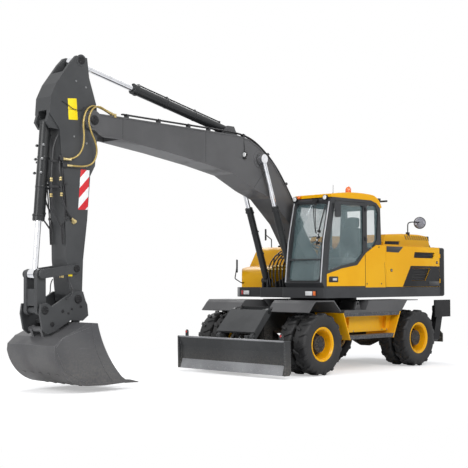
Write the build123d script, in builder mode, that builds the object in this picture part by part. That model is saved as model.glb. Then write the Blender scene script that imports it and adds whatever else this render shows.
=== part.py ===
from build123d import *
import math
import os

os.makedirs("parts", exist_ok=True)

# A wheeled excavator: twin-tyred undercarriage with dozer blade and outriggers, slewing upper
# structure with cab, one-piece boom, arm, quick coupler and bucket.
# Millimetres. x forward, y to the machine's left, z up from the ground.
# Side outlines are lists of (x, z) counted from the middle of the wheelbase, which stands at MID_X.

# ---- driving dimensions -------------------------------------------------------------------
MID_X = -1810.0
WHEELBASE = 2850.0
OVER_TYRES = 2540.0
BODY_INSET = 20.0
TYRE_RADIUS = 527.0
TYRE_WIDTH = 278.0
TWIN_PITCH = 320.0
LUG_HEIGHT = 26.0
LUGS_PER_SIDE = 15
BEAD_RADIUS = 258.0
RIM_WALL = 14.0
FLANGE_RADIUS = 292.0
KINGPIN_Y = 800.0
HUB_BACK_Y = 930.0
FIT_GAP = 0.3
PIN_PLAY = 1.0

CHASSIS_BOTTOM_Z = 740.0
RING_TOP_Z = 1302.0
RING_HEIGHT = 76.0
RING_RADIUS = 620.0
SWING_X = -120.0
FRAME_TOP_Z = 1480.0
HALF_WIDTH = 0.5 * OVER_TYRES - BODY_INSET
FRAME_FRONT_X = 1380.0
TAIL_X = -2870.0
WEIGHT_FRONT_X = -2150.0
BODY_TOP_Z = 2240.0
HOOD_TOP_Z = 2500.0

CAB_INNER_Y = 402.0
CAB_REAR_X = -275.0
CAB_ROOF_Z = 3035.0
CAB_WALL = 60.0
DOOR_HINGE_X = 240.0
DOOR_HINGE_Y = HALF_WIDTH + 16
DOOR_HINGE_Z = (2330.0, 2860.0)

BOOM_HALF = 235.0
FORK_HALF = 190.0
ARM_HALF = 180.0
ROCKER_THICK = 22.0
COUPLER_INNER_Y = ARM_HALF + 34
COUPLER_PLATE = 36.0
PIN_RADIUS = 50.0
BOOM_RAM_Y = 312.0

# ---- pivots, as (x, z) from the middle of the wheelbase -----------------------------------
BOOM_FOOT = (330.0, 1800.0)
BOOM_NOSE = (5510.0, 3970.0)
BOOM_RAM_FOOT = (1120.0, 1600.0)
BOOM_RAM_EYE = (1890.0, 3700.0)
ARM_RAM_FOOT = (2500.0, 4160.0)
ARM_RAM_EYE = (5710.0, 4840.0)
ARM_TIP = (5790.0, 1330.0)
ROCKER_PIVOT = (5785.0, 1770.0)
ROCKER_END = (6370.0, 1690.0)
LINK_END = (6365.0, 1180.0)
BUCKET_RAM_FOOT = (6210.0, 3885.0)
BLADE_LINK_TOP = (1860.0, 1060.0)
BLADE_LINK_END = (2250.0, 630.0)
BLADE_LINK_DROP = 440.0
BLADE_RAM_FOOT = (1790.0, 1010.0)
BLADE_RAM_EYE = (2102.0, 353.0)
OUTRIGGER_PIVOT_Y = 1000.0
OUTRIGGER_PIVOT_Z = 480.0
OUTRIGGER_FOOT_Y = 1110.0
OUTRIGGER_FOOT_Z = 1065.0

AXLE_Z = TYRE_RADIUS
FRONT_AXLE_X = 0.5 * WHEELBASE
REAR_AXLE_X = -0.5 * WHEELBASE
OUTER_TYRE_Y = 0.5 * (OVER_TYRES - TYRE_WIDTH)
INNER_TYRE_Y = OUTER_TYRE_Y - TWIN_PITCH
SIDES = (("left", 1), ("right", -1))
STANDING = (Align.CENTER, Align.CENTER, Align.MIN)


# ---- shared ways of making shapes ---------------------------------------------------------
def side(points):
    """Side outline points, moved to the part's frame."""
    return [(MID_X + x, z) for x, z in points]


def span(sign, near, far):
    """Two stations on one hand of the machine, in rising order."""
    return sorted((sign * near, sign * far))


def slab(points, y, thickness, mode=Mode.ADD, rounding=0.0):
    """A plate cut to a side outline, centred on station y."""
    with BuildSketch(Plane.XZ.offset(-y)) as outline:
        Polygon(*side(points), align=None)
        if rounding:
            fillet(outline.vertices(), rounding)
    extrude(outline.sketch, amount=thickness / 2, both=True, mode=mode)


def cross_bar(pivot, radius, y_from, y_to, mode=Mode.ADD):
    """A round bar or bore across the machine, on the pivot."""
    x, z = pivot
    with BuildSketch(Plane.XZ.offset(-y_to)) as disc:
        with Locations((MID_X + x, z)):
            Circle(radius)
    extrude(disc.sketch, amount=y_to - y_from, mode=mode)


def block(x_from, x_to, y_from, y_to, z_from, z_to, mode=Mode.ADD):
    """A plain block between stations."""
    with Locations((MID_X + x_from, y_from, z_from)):
        Box(x_to - x_from, y_to - y_from, z_to - z_from, align=(Align.MIN,) * 3, mode=mode)


def plan_plate(points, z_from, z_to, mode=Mode.ADD, rounding=0.0):
    """A plate cut to a plan outline of (x, y), between two heights."""
    with BuildSketch(Plane.XY.offset(z_from)) as outline:
        Polygon(*[(MID_X + x, y) for x, y in points], align=None)
        if rounding:
            fillet(outline.vertices(), rounding)
    extrude(outline.sketch, amount=z_to - z_from, mode=mode)


def along(start, end, y):
    """A plane at start, square to the line from start to end, at station y."""
    return Plane(
        origin=(MID_X + start[0], y, start[1]),
        x_dir=(0, 1, 0),
        z_dir=(end[0] - start[0], 0, end[1] - start[1]),
    )


def ram_bar(start, end, y, radius, from_start, to_start, mode=Mode.ADD):
    """A round bar on the line from start to end, between two distances from start."""
    with BuildSketch(along(start, end, y).offset(from_start)) as disc:
        Circle(radius)
    extrude(disc.sketch, amount=to_start - from_start, mode=mode)


def reach(start, end):
    """Distance between two pivots."""
    return math.hypot(end[0] - start[0], end[1] - start[1])


def write(piece, name):
    """Label a finished piece and store it."""
    piece.part.label = name
    export_step(piece.part, f"parts/{name}.step")


# ---- wheels -------------------------------------------------------------------------------
CARCASS_RADIUS = TYRE_RADIUS - LUG_HEIGHT
# tyre section: (distance from the tyre's middle plane as a share of half its width, radius)
TYRE_SECTION = (
    (-0.72, BEAD_RADIUS + FIT_GAP),
    (-0.72, FLANGE_RADIUS + 4),
    (-1.0, BEAD_RADIUS + 90),
    (-0.98, CARCASS_RADIUS - 70),
    (-0.80, CARCASS_RADIUS),
    (0.80, CARCASS_RADIUS),
    (0.98, CARCASS_RADIUS - 70),
    (1.0, BEAD_RADIUS + 90),
    (0.72, FLANGE_RADIUS + 4),
    (0.72, BEAD_RADIUS + FIT_GAP),
)
LUG_WIDTH = 56.0
LUG_SWEEP = 62.0
LUG_ROOT = 45.0
RIM_HALF = 0.72 * 0.5 * TYRE_WIDTH
DISC_Y = 1050.0
HUB_RADIUS = 150.0
HUB_NOSE_RADIUS = 112.0
HUB_NOSE_Y = 1175.0
HUB_RIBS = 10
AXLES = (("front", FRONT_AXLE_X), ("rear", REAR_AXLE_X))
TYRE_STATIONS = (OUTER_TYRE_Y, INNER_TYRE_Y)
AXLE_PLANE = Plane(origin=(0, 0, 0), x_dir=(0, 1, 0), z_dir=(1, 0, 0))
# one lug of the chevron, as (share of half the tyre's width, sweep round the tyre)
LUG_OUTLINE = (
    (0.02, -0.5 * LUG_WIDTH),
    (0.99, LUG_SWEEP - 0.5 * LUG_WIDTH),
    (0.99, LUG_SWEEP + 0.5 * LUG_WIDTH),
    (0.02, 0.5 * LUG_WIDTH),
)

LUG_REACH = LUG_SWEEP + 0.5 * LUG_WIDTH
LUG_TOP = math.sqrt(TYRE_RADIUS**2 - LUG_REACH**2)

# the left-hand twin tyres on an axle at the origin
with BuildPart() as twin_lugs:
    for number in range(2 * LUGS_PER_SIDE):
        turn = math.radians(180.0 * number / LUGS_PER_SIDE)
        hand_of_lug = 1 if number % 2 else -1
        for tyre_y in TYRE_STATIONS:
            radial = Plane(
                origin=(0, tyre_y, 0), x_dir=(0, 1, 0), z_dir=(math.sin(turn), 0, -math.cos(turn))
            )
            with BuildSketch(radial.offset(CARCASS_RADIUS - LUG_ROOT)) as lug:
                Polygon(
                    *[(hand_of_lug * 0.5 * TYRE_WIDTH * share, sweep) for share, sweep in LUG_OUTLINE],
                    align=None,
                )
            extrude(amount=LUG_TOP - CARCASS_RADIUS + LUG_ROOT)

with BuildPart() as twin_tyres:
    for tyre_y in TYRE_STATIONS:
        with BuildSketch(AXLE_PLANE) as section:
            Polygon(
                *[(tyre_y + 0.5 * TYRE_WIDTH * share, radius) for share, radius in TYRE_SECTION],
                align=None,
            )
        revolve(axis=Axis.Y)
    add(twin_lugs.part)

RIM_BACK_Y = INNER_TYRE_Y - RIM_HALF - 12
RIM_FRONT_Y = OUTER_TYRE_Y + RIM_HALF + 12
# rim section, as (station, radius)
RIM_SECTION = (
    (RIM_BACK_Y, BEAD_RADIUS - RIM_WALL),
    (RIM_BACK_Y, FLANGE_RADIUS),
    (RIM_BACK_Y + 12 - FIT_GAP, FLANGE_RADIUS),
    (RIM_BACK_Y + 12 - FIT_GAP, BEAD_RADIUS),
    (INNER_TYRE_Y + RIM_HALF + FIT_GAP, BEAD_RADIUS),
    (INNER_TYRE_Y + RIM_HALF + FIT_GAP, FLANGE_RADIUS - 8),
    (OUTER_TYRE_Y - RIM_HALF - FIT_GAP, FLANGE_RADIUS - 8),
    (OUTER_TYRE_Y - RIM_HALF - FIT_GAP, BEAD_RADIUS),
    (RIM_FRONT_Y - 12 + FIT_GAP, BEAD_RADIUS),
    (RIM_FRONT_Y - 12 + FIT_GAP, FLANGE_RADIUS),
    (RIM_FRONT_Y, FLANGE_RADIUS),
    (RIM_FRONT_Y, FLANGE_RADIUS - RIM_WALL),
    (RIM_FRONT_Y - 25, BEAD_RADIUS - RIM_WALL),
    (DISC_Y + 60, BEAD_RADIUS - 2 * RIM_WALL),
    (DISC_Y, 0.5 * (BEAD_RADIUS + HUB_RADIUS)),
    (DISC_Y, HUB_NOSE_RADIUS),
    (HUB_NOSE_Y - 15, HUB_NOSE_RADIUS),
    (HUB_NOSE_Y, HUB_NOSE_RADIUS - 25),
    (HUB_NOSE_Y, 0),
    (HUB_BACK_Y, 0),
    (HUB_BACK_Y, HUB_RADIUS),
    (DISC_Y - 22, HUB_RADIUS),
    (DISC_Y - 22, 0.5 * (BEAD_RADIUS + HUB_RADIUS)),
    (DISC_Y + 30, BEAD_RADIUS - RIM_WALL),
)
with BuildPart() as twin_rims:
    with BuildSketch(AXLE_PLANE) as barrel:
        Polygon(*RIM_SECTION, align=None)
    revolve(axis=Axis.Y)
    with BuildSketch(Plane.XZ.offset(-HUB_NOSE_Y - 12)) as hub_cap:
        Circle(0.42 * HUB_NOSE_RADIUS)
        with PolarLocations(0.55 * HUB_NOSE_RADIUS, HUB_RIBS):
            Rectangle(0.5 * HUB_NOSE_RADIUS, 10)
    extrude(amount=14)

for end, axle_x in AXLES:
    for hand, sign in SIDES:
        for template, node in ((twin_tyres, "tyres"), (twin_rims, "rim")):
            with BuildPart() as wheel_piece:
                with Locations((MID_X + axle_x, 0, AXLE_Z)):
                    add(template.part if sign > 0 else mirror(template.part, Plane.XZ, mode=Mode.PRIVATE))
            write(wheel_piece, f"{node}_{end}_{hand}")

# ---- axles, steering knuckles and driveline -----------------------------------------------
BEAM_RADIUS = 72.0
EYE_RADIUS = 58.0
EYE_HALF_HEIGHT = 92.0
KINGPIN_RADIUS = 30.0
# axle housing section: (share of the way to the beam's end, radius)
HOUSING_SECTION = (
    (0.0, 195), (0.10, 195), (0.22, 150), (0.34, 100), (0.95, BEAM_RADIUS), (1.0, BEAM_RADIUS),
)


def housing(axle_x, beam_end):
    """Axle housing turned about the wheel axis, from one beam end to the other."""
    rows = [(sign * share * beam_end, r) for sign in (1, -1) for share, r in HOUSING_SECTION]
    rows = sorted(set(rows))
    with BuildSketch(
        Plane(origin=(MID_X + axle_x, 0, AXLE_Z), x_dir=(0, 1, 0), z_dir=(1, 0, 0))
    ) as section:
        Polygon((-beam_end, 0), *rows, (beam_end, 0), align=None)
    revolve(section.sketch, axis=Axis((MID_X + axle_x, 0, AXLE_Z), (0, 1, 0)))


STEER_ROD_X = FRONT_AXLE_X - 150
STEER_ROD_Z = AXLE_Z - 125
with BuildPart() as front_axle:
    housing(FRONT_AXLE_X, KINGPIN_Y - 40)
    for hand, sign in SIDES:
        with Locations((MID_X + FRONT_AXLE_X, sign * KINGPIN_Y, AXLE_Z)):
            Cylinder(EYE_RADIUS, 2 * EYE_HALF_HEIGHT)
            Cylinder(KINGPIN_RADIUS + PIN_PLAY, 2 * EYE_HALF_HEIGHT + 2, mode=Mode.SUBTRACT)
    cross_bar((STEER_ROD_X, STEER_ROD_Z), 40, -240, 240)
    cross_bar((STEER_ROD_X, STEER_ROD_Z), 22, -560, 560)
    block(STEER_ROD_X - 20, FRONT_AXLE_X, -150, 150, STEER_ROD_Z - 20, AXLE_Z - 60)
    block(FRONT_AXLE_X - 70, FRONT_AXLE_X + 70, -90, 90, AXLE_Z + 120, CHASSIS_BOTTOM_Z - FIT_GAP)
write(front_axle, "front_axle")

with BuildPart() as rear_axle:
    housing(REAR_AXLE_X, HUB_BACK_Y - FIT_GAP)
    for hand, sign in SIDES:
        block(
            REAR_AXLE_X - 70, REAR_AXLE_X + 70, sign * 270 - 60, sign * 270 + 60,
            AXLE_Z + 40, CHASSIS_BOTTOM_Z - FIT_GAP,
        )
write(rear_axle, "rear_axle")

for hand, sign in SIDES:
    with BuildPart() as knuckle:
        for up in (1, -1):
            low = AXLE_Z + min(up * (EYE_HALF_HEIGHT + 5), up * (EYE_HALF_HEIGHT + 45))
            block(
                FRONT_AXLE_X - 68,
                FRONT_AXLE_X + 68,
                *span(sign, (KINGPIN_Y - 65), (HUB_BACK_Y - 10)),
                low,
                low + 40,
            )
        cross_bar((FRONT_AXLE_X, AXLE_Z), 140, *span(sign, HUB_BACK_Y - 50, HUB_BACK_Y - 10))
        cross_bar(
            (FRONT_AXLE_X, AXLE_Z),
            100,
            *span(sign, (HUB_BACK_Y - 12), (HUB_BACK_Y - FIT_GAP)),
        )
        with Locations((MID_X + FRONT_AXLE_X, sign * KINGPIN_Y, AXLE_Z)):
            Cylinder(KINGPIN_RADIUS, 2 * EYE_HALF_HEIGHT + 60)
        block(
            STEER_ROD_X - 10,
            FRONT_AXLE_X - 30,
            *span(sign, 600, KINGPIN_Y),
            AXLE_Z - EYE_HALF_HEIGHT - 45,
            AXLE_Z - EYE_HALF_HEIGHT - 8,
        )
    write(knuckle, f"knuckle_{hand}")

with BuildPart() as driveline:
    block(-420, 120, -190, 190, 560, 880 - FIT_GAP)
    for start, end in (((120, 640), (1226, 545)), ((-420, 640), (-1226, 545))):
        ram_bar(start, end, 0, 42, 0, reach(start, end))
write(driveline, "driveline")

# ---- undercarriage frame ------------------------------------------------------------------
CHASSIS_HALF = 350.0
BLADE_RAM_PIN = 32.0
NOSE_PLATE = 80.0
HOUSING_FRONT_X = -2060.0
HOUSING_REAR_X = -2540.0
TURRET_RADIUS = 600.0
RING_BOTTOM_Z = RING_TOP_Z - RING_HEIGHT
TURRET_BOTTOM_Z = 1000.0

with BuildPart() as chassis_frame:
    slab(
        [
            (HOUSING_FRONT_X + 10, CHASSIS_BOTTOM_Z), (HOUSING_FRONT_X + 10, 1000), (-900, 1070), (700, 1070),
            (1700, 1150), (1700, CHASSIS_BOTTOM_Z), (430, CHASSIS_BOTTOM_Z), (350, 880), (-650, 880),
            (-760, CHASSIS_BOTTOM_Z),
        ],
        0,
        2 * CHASSIS_HALF,
    )
    for hand, sign in SIDES:
        slab(
            [(1690, 560), (1690, 1115), (1870, 1105), (1908, 1070), (1912, 1030), (1912, 590), (1880, 560)],
            sign * (CHASSIS_HALF - NOSE_PLATE / 2),
            NOSE_PLATE,
        )
        cross_bar(BLADE_LINK_TOP, PIN_RADIUS - 10, *span(sign, 300, 425))
        cross_bar(
            (BLADE_LINK_TOP[0], BLADE_LINK_TOP[1] - BLADE_LINK_DROP),
            PIN_RADIUS - 10,
            *span(sign, 300, 425),
        )
        slab([(1690, 560), (1690, 745), (1760, 745), (1760, 560)], sign * 310, 80)
    block(1690, 1720, -CHASSIS_HALF, CHASSIS_HALF, 560, 1150)
    cross_bar(BLADE_RAM_FOOT, BLADE_RAM_PIN, -CHASSIS_HALF + 10, CHASSIS_HALF - 10)
    with Locations((MID_X + SWING_X, 0, TURRET_BOTTOM_Z)):
        Cylinder(TURRET_RADIUS, RING_BOTTOM_Z - FIT_GAP - TURRET_BOTTOM_Z, align=STANDING)
    block(HOUSING_REAR_X, HOUSING_FRONT_X + 20, -900, 900, 400, 620)
    block(HOUSING_REAR_X + 80, HOUSING_FRONT_X + 20, -CHASSIS_HALF, CHASSIS_HALF, 600, 1000)
    for hand, sign in SIDES:
        for plate_x in (HOUSING_FRONT_X - 40, HOUSING_REAR_X):
            with BuildSketch(Plane.YZ.offset(MID_X + plate_x)) as cheek:
                Polygon(
                    *[
                        (sign * y, z)
                        for y, z in ((340, 400), (340, 980), (700, 900), (1060, 560), (1060, 400))
                    ],
                    align=None,
                )
                with Locations((sign * OUTRIGGER_PIVOT_Y, OUTRIGGER_PIVOT_Z)):
                    Circle(45)
            extrude(amount=40)
        with BuildSketch(Plane.YZ.offset(MID_X + HOUSING_REAR_X)) as pin:
            with Locations((sign * OUTRIGGER_PIVOT_Y, OUTRIGGER_PIVOT_Z)):
                Circle(30)
        extrude(amount=HOUSING_FRONT_X - HOUSING_REAR_X)
        block(
            HOUSING_REAR_X + 40, HOUSING_FRONT_X - 40,
            *span(sign, 899, 1070), 399, 700, mode=Mode.SUBTRACT,
        )
        with BuildSketch(Plane.YZ.offset(MID_X + HOUSING_REAR_X)) as pin_again:
            with Locations((sign * OUTRIGGER_PIVOT_Y, OUTRIGGER_PIVOT_Z)):
                Circle(30)
        extrude(amount=HOUSING_FRONT_X - HOUSING_REAR_X)
write(chassis_frame, "chassis_frame")

with BuildPart() as slewing_ring:
    with Locations((MID_X + SWING_X, 0, RING_BOTTOM_Z)):
        Cylinder(RING_RADIUS, RING_HEIGHT - FIT_GAP, align=STANDING)
        Cylinder(RING_RADIUS - 110, RING_HEIGHT, align=STANDING, mode=Mode.SUBTRACT)
write(slewing_ring, "slewing_ring")

# ---- fenders, deck and steps --------------------------------------------------------------
FENDER_INNER_Y = CHASSIS_HALF + FIT_GAP
FENDER_OUTER_Y = 0.5 * OVER_TYRES
FENDER_PLATE = 22.0
TREAD_TOP_Z = 1040.0
with BuildPart() as fenders:
    for hand, sign in SIDES:
        with BuildSketch(Plane.XZ.offset(-sign * 0.5 * (FENDER_INNER_Y + FENDER_OUTER_Y))) as bent:
            Polygon(
                *side(
                    [
                        (1830, 1072), (1700, 1215), (1640, 1262), (1150, 1262), (955, 1072),
                        (955 + 16, 1072 - 12), (1158, 1262 - FENDER_PLATE), (1632, 1262 - FENDER_PLATE),
                        (1685, 1200), (1812, 1060),
                    ]
                ),
                align=None,
            )
        extrude(amount=0.5 * (FENDER_OUTER_Y - FENDER_INNER_Y), both=True)
        slab(
            [(1000, 1110), (1150, 1245), (1640, 1245), (1700, 1195), (1700, 1110)],
            sign * (FENDER_INNER_Y + 8), 16,
        )
        block(
            1765, 1840, *span(sign, 340, 432), 1000, 1300, mode=Mode.SUBTRACT,
        )
write(fenders, "front_fenders")

DECK_INNER_Y = 640.0
DECK_MID_Y = 0.5 * (DECK_INNER_Y + FENDER_OUTER_Y)
DECK_TOP_Z = 1250.0
LEDGE_Z = 1085.0
LASHING_EYE = (360.0, 1190.0)
LASHING_Y = 1150.0
LASHING_THICK = 40.0
LASHING_BORE = 25.0
DECK_SIDE = [
    (860, TREAD_TOP_Z + FIT_GAP), (860, LEDGE_Z), (250, LEDGE_Z), (165, DECK_TOP_Z), (-1362, DECK_TOP_Z),
    (-1362, DECK_TOP_Z - 15), (-1010, DECK_TOP_Z - 15), (-846, 1062), (-790, TREAD_TOP_Z + FIT_GAP),
]
with BuildPart() as side_decks:
    for hand, sign in SIDES:
        slab(DECK_SIDE, sign * DECK_MID_Y, FENDER_OUTER_Y - DECK_INNER_Y)
        with BuildSketch(Plane.XZ.offset(-sign * LASHING_Y)) as lashing_lug:
            Polygon(
                *side([(275, LEDGE_Z - 5), (312, LASHING_EYE[1]), (408, LASHING_EYE[1]), (445, LEDGE_Z - 5)]),
                align=None,
            )
            with Locations((MID_X + LASHING_EYE[0], LASHING_EYE[1])):
                Circle(48)
                Circle(LASHING_BORE, mode=Mode.SUBTRACT)
        extrude(lashing_lug.sketch, amount=LASHING_THICK / 2, both=True)
write(side_decks, "side_decks")

# inner edges of the two sloping posts, as (top, foot)
FRONT_POST = ((887.0, 1040.0), (696.0, 569.0))
REAR_POST = ((-783.0, 1040.0), (-560.0, 569.0))
POST_THICK = 18.0
BOX_Y = 1100.0
BOX_BOTTOM_Z = 690.0
UPPER_TREAD_Z = 978.0
LOWER_TREAD = (577.0, 647.0)
POCKET_DEPTH = 70.0
# pockets in the box's outer face, as (front edge, rear edge)
POCKETS = ((790.0, 515.0), (-340.0, -590.0))


def on_edge(edge, z):
    """Where a sloping edge stands at a height."""
    (x_top, z_top), (x_low, z_low) = edge
    return x_low + (x_top - x_low) * (z - z_low) / (z_top - z_low)


def between_posts(z_from, z_to, gap=0.0):
    """Side outline of what fills the space between the two posts."""
    front = [(on_edge(FRONT_POST, z) - gap, z) for z in (z_to, z_from)]
    rear = [(on_edge(REAR_POST, z) + gap, z) for z in (z_from, z_to)]
    return front + rear


with BuildPart() as step_boxes:
    for hand, sign in SIDES:
        box_mid = sign * 0.5 * (DECK_INNER_Y + BOX_Y)
        for (x_top, z_top), (x_low, z_low) in (FRONT_POST, REAR_POST):
            outward = math.copysign(POST_THICK, x_top)
            slab(
                [(x_top, z_top), (x_low, z_low), (x_low + outward, z_low), (x_top + outward, z_top)],
                sign * DECK_MID_Y,
                FENDER_OUTER_Y - DECK_INNER_Y,
            )
        slab(between_posts(BOX_BOTTOM_Z, TREAD_TOP_Z), box_mid, BOX_Y - DECK_INNER_Y)
        for x_front, x_rear in POCKETS:
            slab(
                [(x_front, 950), (x_rear, 950), (x_rear + 30, 735), (x_front - 60, 735)],
                sign * BOX_Y,
                2 * POCKET_DEPTH,
                mode=Mode.SUBTRACT,
                rounding=12,
            )
        block(
            -560, 690, *span(sign, FENDER_INNER_Y, (DECK_INNER_Y + 1)), 900, 1000,
        )
write(step_boxes, "step_boxes")

with BuildPart() as step_treads:
    for hand, sign in SIDES:
        for z_from, z_to in ((UPPER_TREAD_Z, TREAD_TOP_Z), LOWER_TREAD):
            slab(
                between_posts(z_from, z_to, FIT_GAP),
                sign * 0.5 * (BOX_Y + FIT_GAP + FENDER_OUTER_Y - 6),
                FENDER_OUTER_Y - 6 - BOX_Y - FIT_GAP,
            )
write(step_treads, "step_treads")

# ---- dozer blade and its parallel links ---------------------------------------------------
LINK_Y = 390.0
LINK_THICK = 60.0
BLADE_EAR_Y = 325.0
BLADE_BAR_RADIUS = 30.0
BLADE_EYE_DRIFT = 20.0
BLADE_RAM_Y = 140.0
BLADE_BARREL = 430.0
link_low = (BLADE_LINK_TOP[0], BLADE_LINK_TOP[1] - BLADE_LINK_DROP)
link_low_end = (BLADE_LINK_END[0], BLADE_LINK_END[1] - BLADE_LINK_DROP)


def link_bar(start, end, y, thickness, depth, bore):
    """A flat bar with a round eye at both ends, bored for its pins."""
    length = reach(start, end)
    bar_plane = Plane(
        origin=(MID_X + start[0], y + thickness / 2, start[1]),
        x_dir=(end[0] - start[0], 0, end[1] - start[1]),
        z_dir=(0, -1, 0),
    )
    with BuildSketch(bar_plane) as bar:
        with Locations((length / 2, 0)):
            Rectangle(length, depth)
        with Locations((0, 0), (length, 0)):
            Circle(depth / 2)
            Circle(bore, mode=Mode.SUBTRACT)
    extrude(bar.sketch, amount=thickness)


with BuildPart() as blade_guard_link:
    for hand, sign in SIDES:
        link_bar(BLADE_LINK_TOP, BLADE_LINK_END, sign * LINK_Y, LINK_THICK, 120, PIN_RADIUS - 10 + PIN_PLAY)
    link_slope = math.atan2(BLADE_LINK_END[1] - BLADE_LINK_TOP[1], BLADE_LINK_END[0] - BLADE_LINK_TOP[0])
    cover = Plane(
        origin=(MID_X + BLADE_LINK_TOP[0], 0, BLADE_LINK_TOP[1]),
        x_dir=(math.cos(link_slope), 0, math.sin(link_slope)),
        z_dir=(-math.sin(link_slope), 0, math.cos(link_slope)),
    )
    with BuildSketch(cover.offset(58)) as plate:
        Polygon((20, -430), (20, 430), (515, 450), (515, -450), align=None)
    extrude(amount=24)
    with BuildSketch(cover.offset(34)) as lip:
        Polygon((491, -449), (491, 449), (515, 450), (515, -450), align=None)
    extrude(amount=24)
write(blade_guard_link, "blade_guard_link")

with BuildPart() as blade_lower_arms:
    for hand, sign in SIDES:
        link_bar(link_low, link_low_end, sign * LINK_Y, LINK_THICK, 120, PIN_RADIUS - 10 + PIN_PLAY)
    cross_bar(BLADE_RAM_EYE, BLADE_BAR_RADIUS, -LINK_Y, LINK_Y)
write(blade_lower_arms, "blade_lower_arms")

BLADE_HALF = 0.5 * OVER_TYRES
BLADE_TOP = (2409.0, 612.0)
BLADE_ROLL = 14.0
BLADE_LAMP_Z = 700.0
BLADE_LAMP_Y = (-1060.0, 1170.0)
with BuildPart() as blade:
    slab(
        [
            (2415, 57), (2360, 235), (2360, 430), (2420, 615),
            (2398, 622), (2335, 432), (2335, 232), (2380, 57),
        ],
        0, 2 * BLADE_HALF,
    )
    cross_bar(BLADE_TOP, BLADE_ROLL, -BLADE_HALF, BLADE_HALF)
    for lamp_y in BLADE_LAMP_Y:
        with BuildSketch(Plane.YZ.offset(MID_X + BLADE_TOP[0] - 20)) as lamp_plate:
            with Locations((lamp_y, 0.5 * (BLADE_TOP[1] + BLADE_LAMP_Z))):
                Rectangle(76, BLADE_LAMP_Z - BLADE_TOP[1])
            with Locations((lamp_y, BLADE_LAMP_Z)):
                Circle(38)
        extrude(amount=10)
        with BuildSketch(Plane.YZ.offset(MID_X + BLADE_TOP[0] - 10)) as lamp_body:
            with Locations((lamp_y, BLADE_LAMP_Z)):
                Circle(24)
        extrude(amount=16)
    for hand, sign in SIDES:
        slab([(2420, 57), (2430, 620), (2290, 620), (2270, 100), (2310, 57)], sign * (BLADE_HALF - 12), 24)
        slab(
            [(2350, 130), (2350, 680), (2210, 680), (2190, 640), (2190, 150), (2210, 130)],
            sign * BLADE_EAR_Y, 60,
        )
        for pivot in (BLADE_LINK_END, link_low_end):
            cross_bar(pivot, PIN_RADIUS - 10, *span(sign, 300, 425))
write(blade, "dozer_blade")

blade_ram_length = reach(BLADE_RAM_FOOT, BLADE_RAM_EYE)
with BuildPart() as blade_rams:
    for y in (-BLADE_RAM_Y, BLADE_RAM_Y):
        cross_bar(BLADE_RAM_FOOT, 58, y - 38, y + 38)
        ram_bar(BLADE_RAM_FOOT, BLADE_RAM_EYE, y, 50, 35, BLADE_BARREL)
        cross_bar(BLADE_RAM_FOOT, BLADE_RAM_PIN + PIN_PLAY, y - 39, y + 39, mode=Mode.SUBTRACT)
        ram_bar(BLADE_RAM_FOOT, BLADE_RAM_EYE, y, 28 + PIN_PLAY, 120, BLADE_BARREL + 1, mode=Mode.SUBTRACT)
write(blade_rams, "blade_cylinders")

with BuildPart() as blade_rods:
    for y in (-BLADE_RAM_Y, BLADE_RAM_Y):
        ram_bar(BLADE_RAM_FOOT, BLADE_RAM_EYE, y, 28, 260, blade_ram_length - 60)
        cross_bar(BLADE_RAM_EYE, 80, y - 38, y + 38)
        cross_bar(BLADE_RAM_EYE, BLADE_BAR_RADIUS + BLADE_EYE_DRIFT, y - 39, y + 39, mode=Mode.SUBTRACT)
write(blade_rods, "blade_rods")

# ---- outriggers ---------------------------------------------------------------------------
LEG_MID_X = 0.5 * (HOUSING_FRONT_X + HOUSING_REAR_X)
for hand, sign in SIDES:
    with BuildPart() as leg:
        with BuildSketch(Plane.YZ.offset(MID_X + LEG_MID_X)) as leg_side:
            Polygon(
                *[
                    (sign * y, z)
                    for y, z in (
                        (OUTRIGGER_PIVOT_Y - 62, OUTRIGGER_PIVOT_Z - 20),
                        (OUTRIGGER_FOOT_Y - 60, OUTRIGGER_FOOT_Z),
                        (OUTRIGGER_FOOT_Y - 30, OUTRIGGER_FOOT_Z + 50),
                        (OUTRIGGER_FOOT_Y + 30, OUTRIGGER_FOOT_Z + 50),
                        (OUTRIGGER_FOOT_Y + 55, OUTRIGGER_FOOT_Z),
                        (OUTRIGGER_PIVOT_Y + 60, OUTRIGGER_PIVOT_Z - 20),
                        (OUTRIGGER_PIVOT_Y, OUTRIGGER_PIVOT_Z - 62),
                    )
                ],
                align=None,
            )
            with Locations((sign * OUTRIGGER_PIVOT_Y, OUTRIGGER_PIVOT_Z)):
                Circle(30 + PIN_PLAY, mode=Mode.SUBTRACT)
        extrude(amount=100, both=True)
        with BuildSketch(Plane.YZ.offset(MID_X + LEG_MID_X)) as foot_pin:
            with Locations((sign * OUTRIGGER_FOOT_Y, OUTRIGGER_FOOT_Z)):
                Circle(28)
        extrude(amount=150, both=True)
    write(leg, f"outrigger_leg_{hand}")

    with BuildPart() as foot:
        with BuildSketch(Plane.YZ.offset(MID_X + LEG_MID_X)) as foot_plate:
            Polygon(
                *[(sign * y, z) for y, z in ((1185, 900), (1185, 1230), (1215, 1230), (1215, 900))],
                align=None,
            )
        extrude(amount=270, both=True)
        for plate_x in (LEG_MID_X - 125, LEG_MID_X + 125):
            with BuildSketch(Plane.YZ.offset(MID_X + plate_x)) as ear:
                Polygon(
                    *[(sign * y, z) for y, z in ((1190, 960), (1060, 1020), (1060, 1110), (1190, 1170))],
                    align=None,
                )
                with Locations((sign * OUTRIGGER_FOOT_Y, OUTRIGGER_FOOT_Z)):
                    Circle(28 + PIN_PLAY, mode=Mode.SUBTRACT)
            extrude(amount=18, both=True)
    write(foot, f"outrigger_foot_{hand}")

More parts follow.
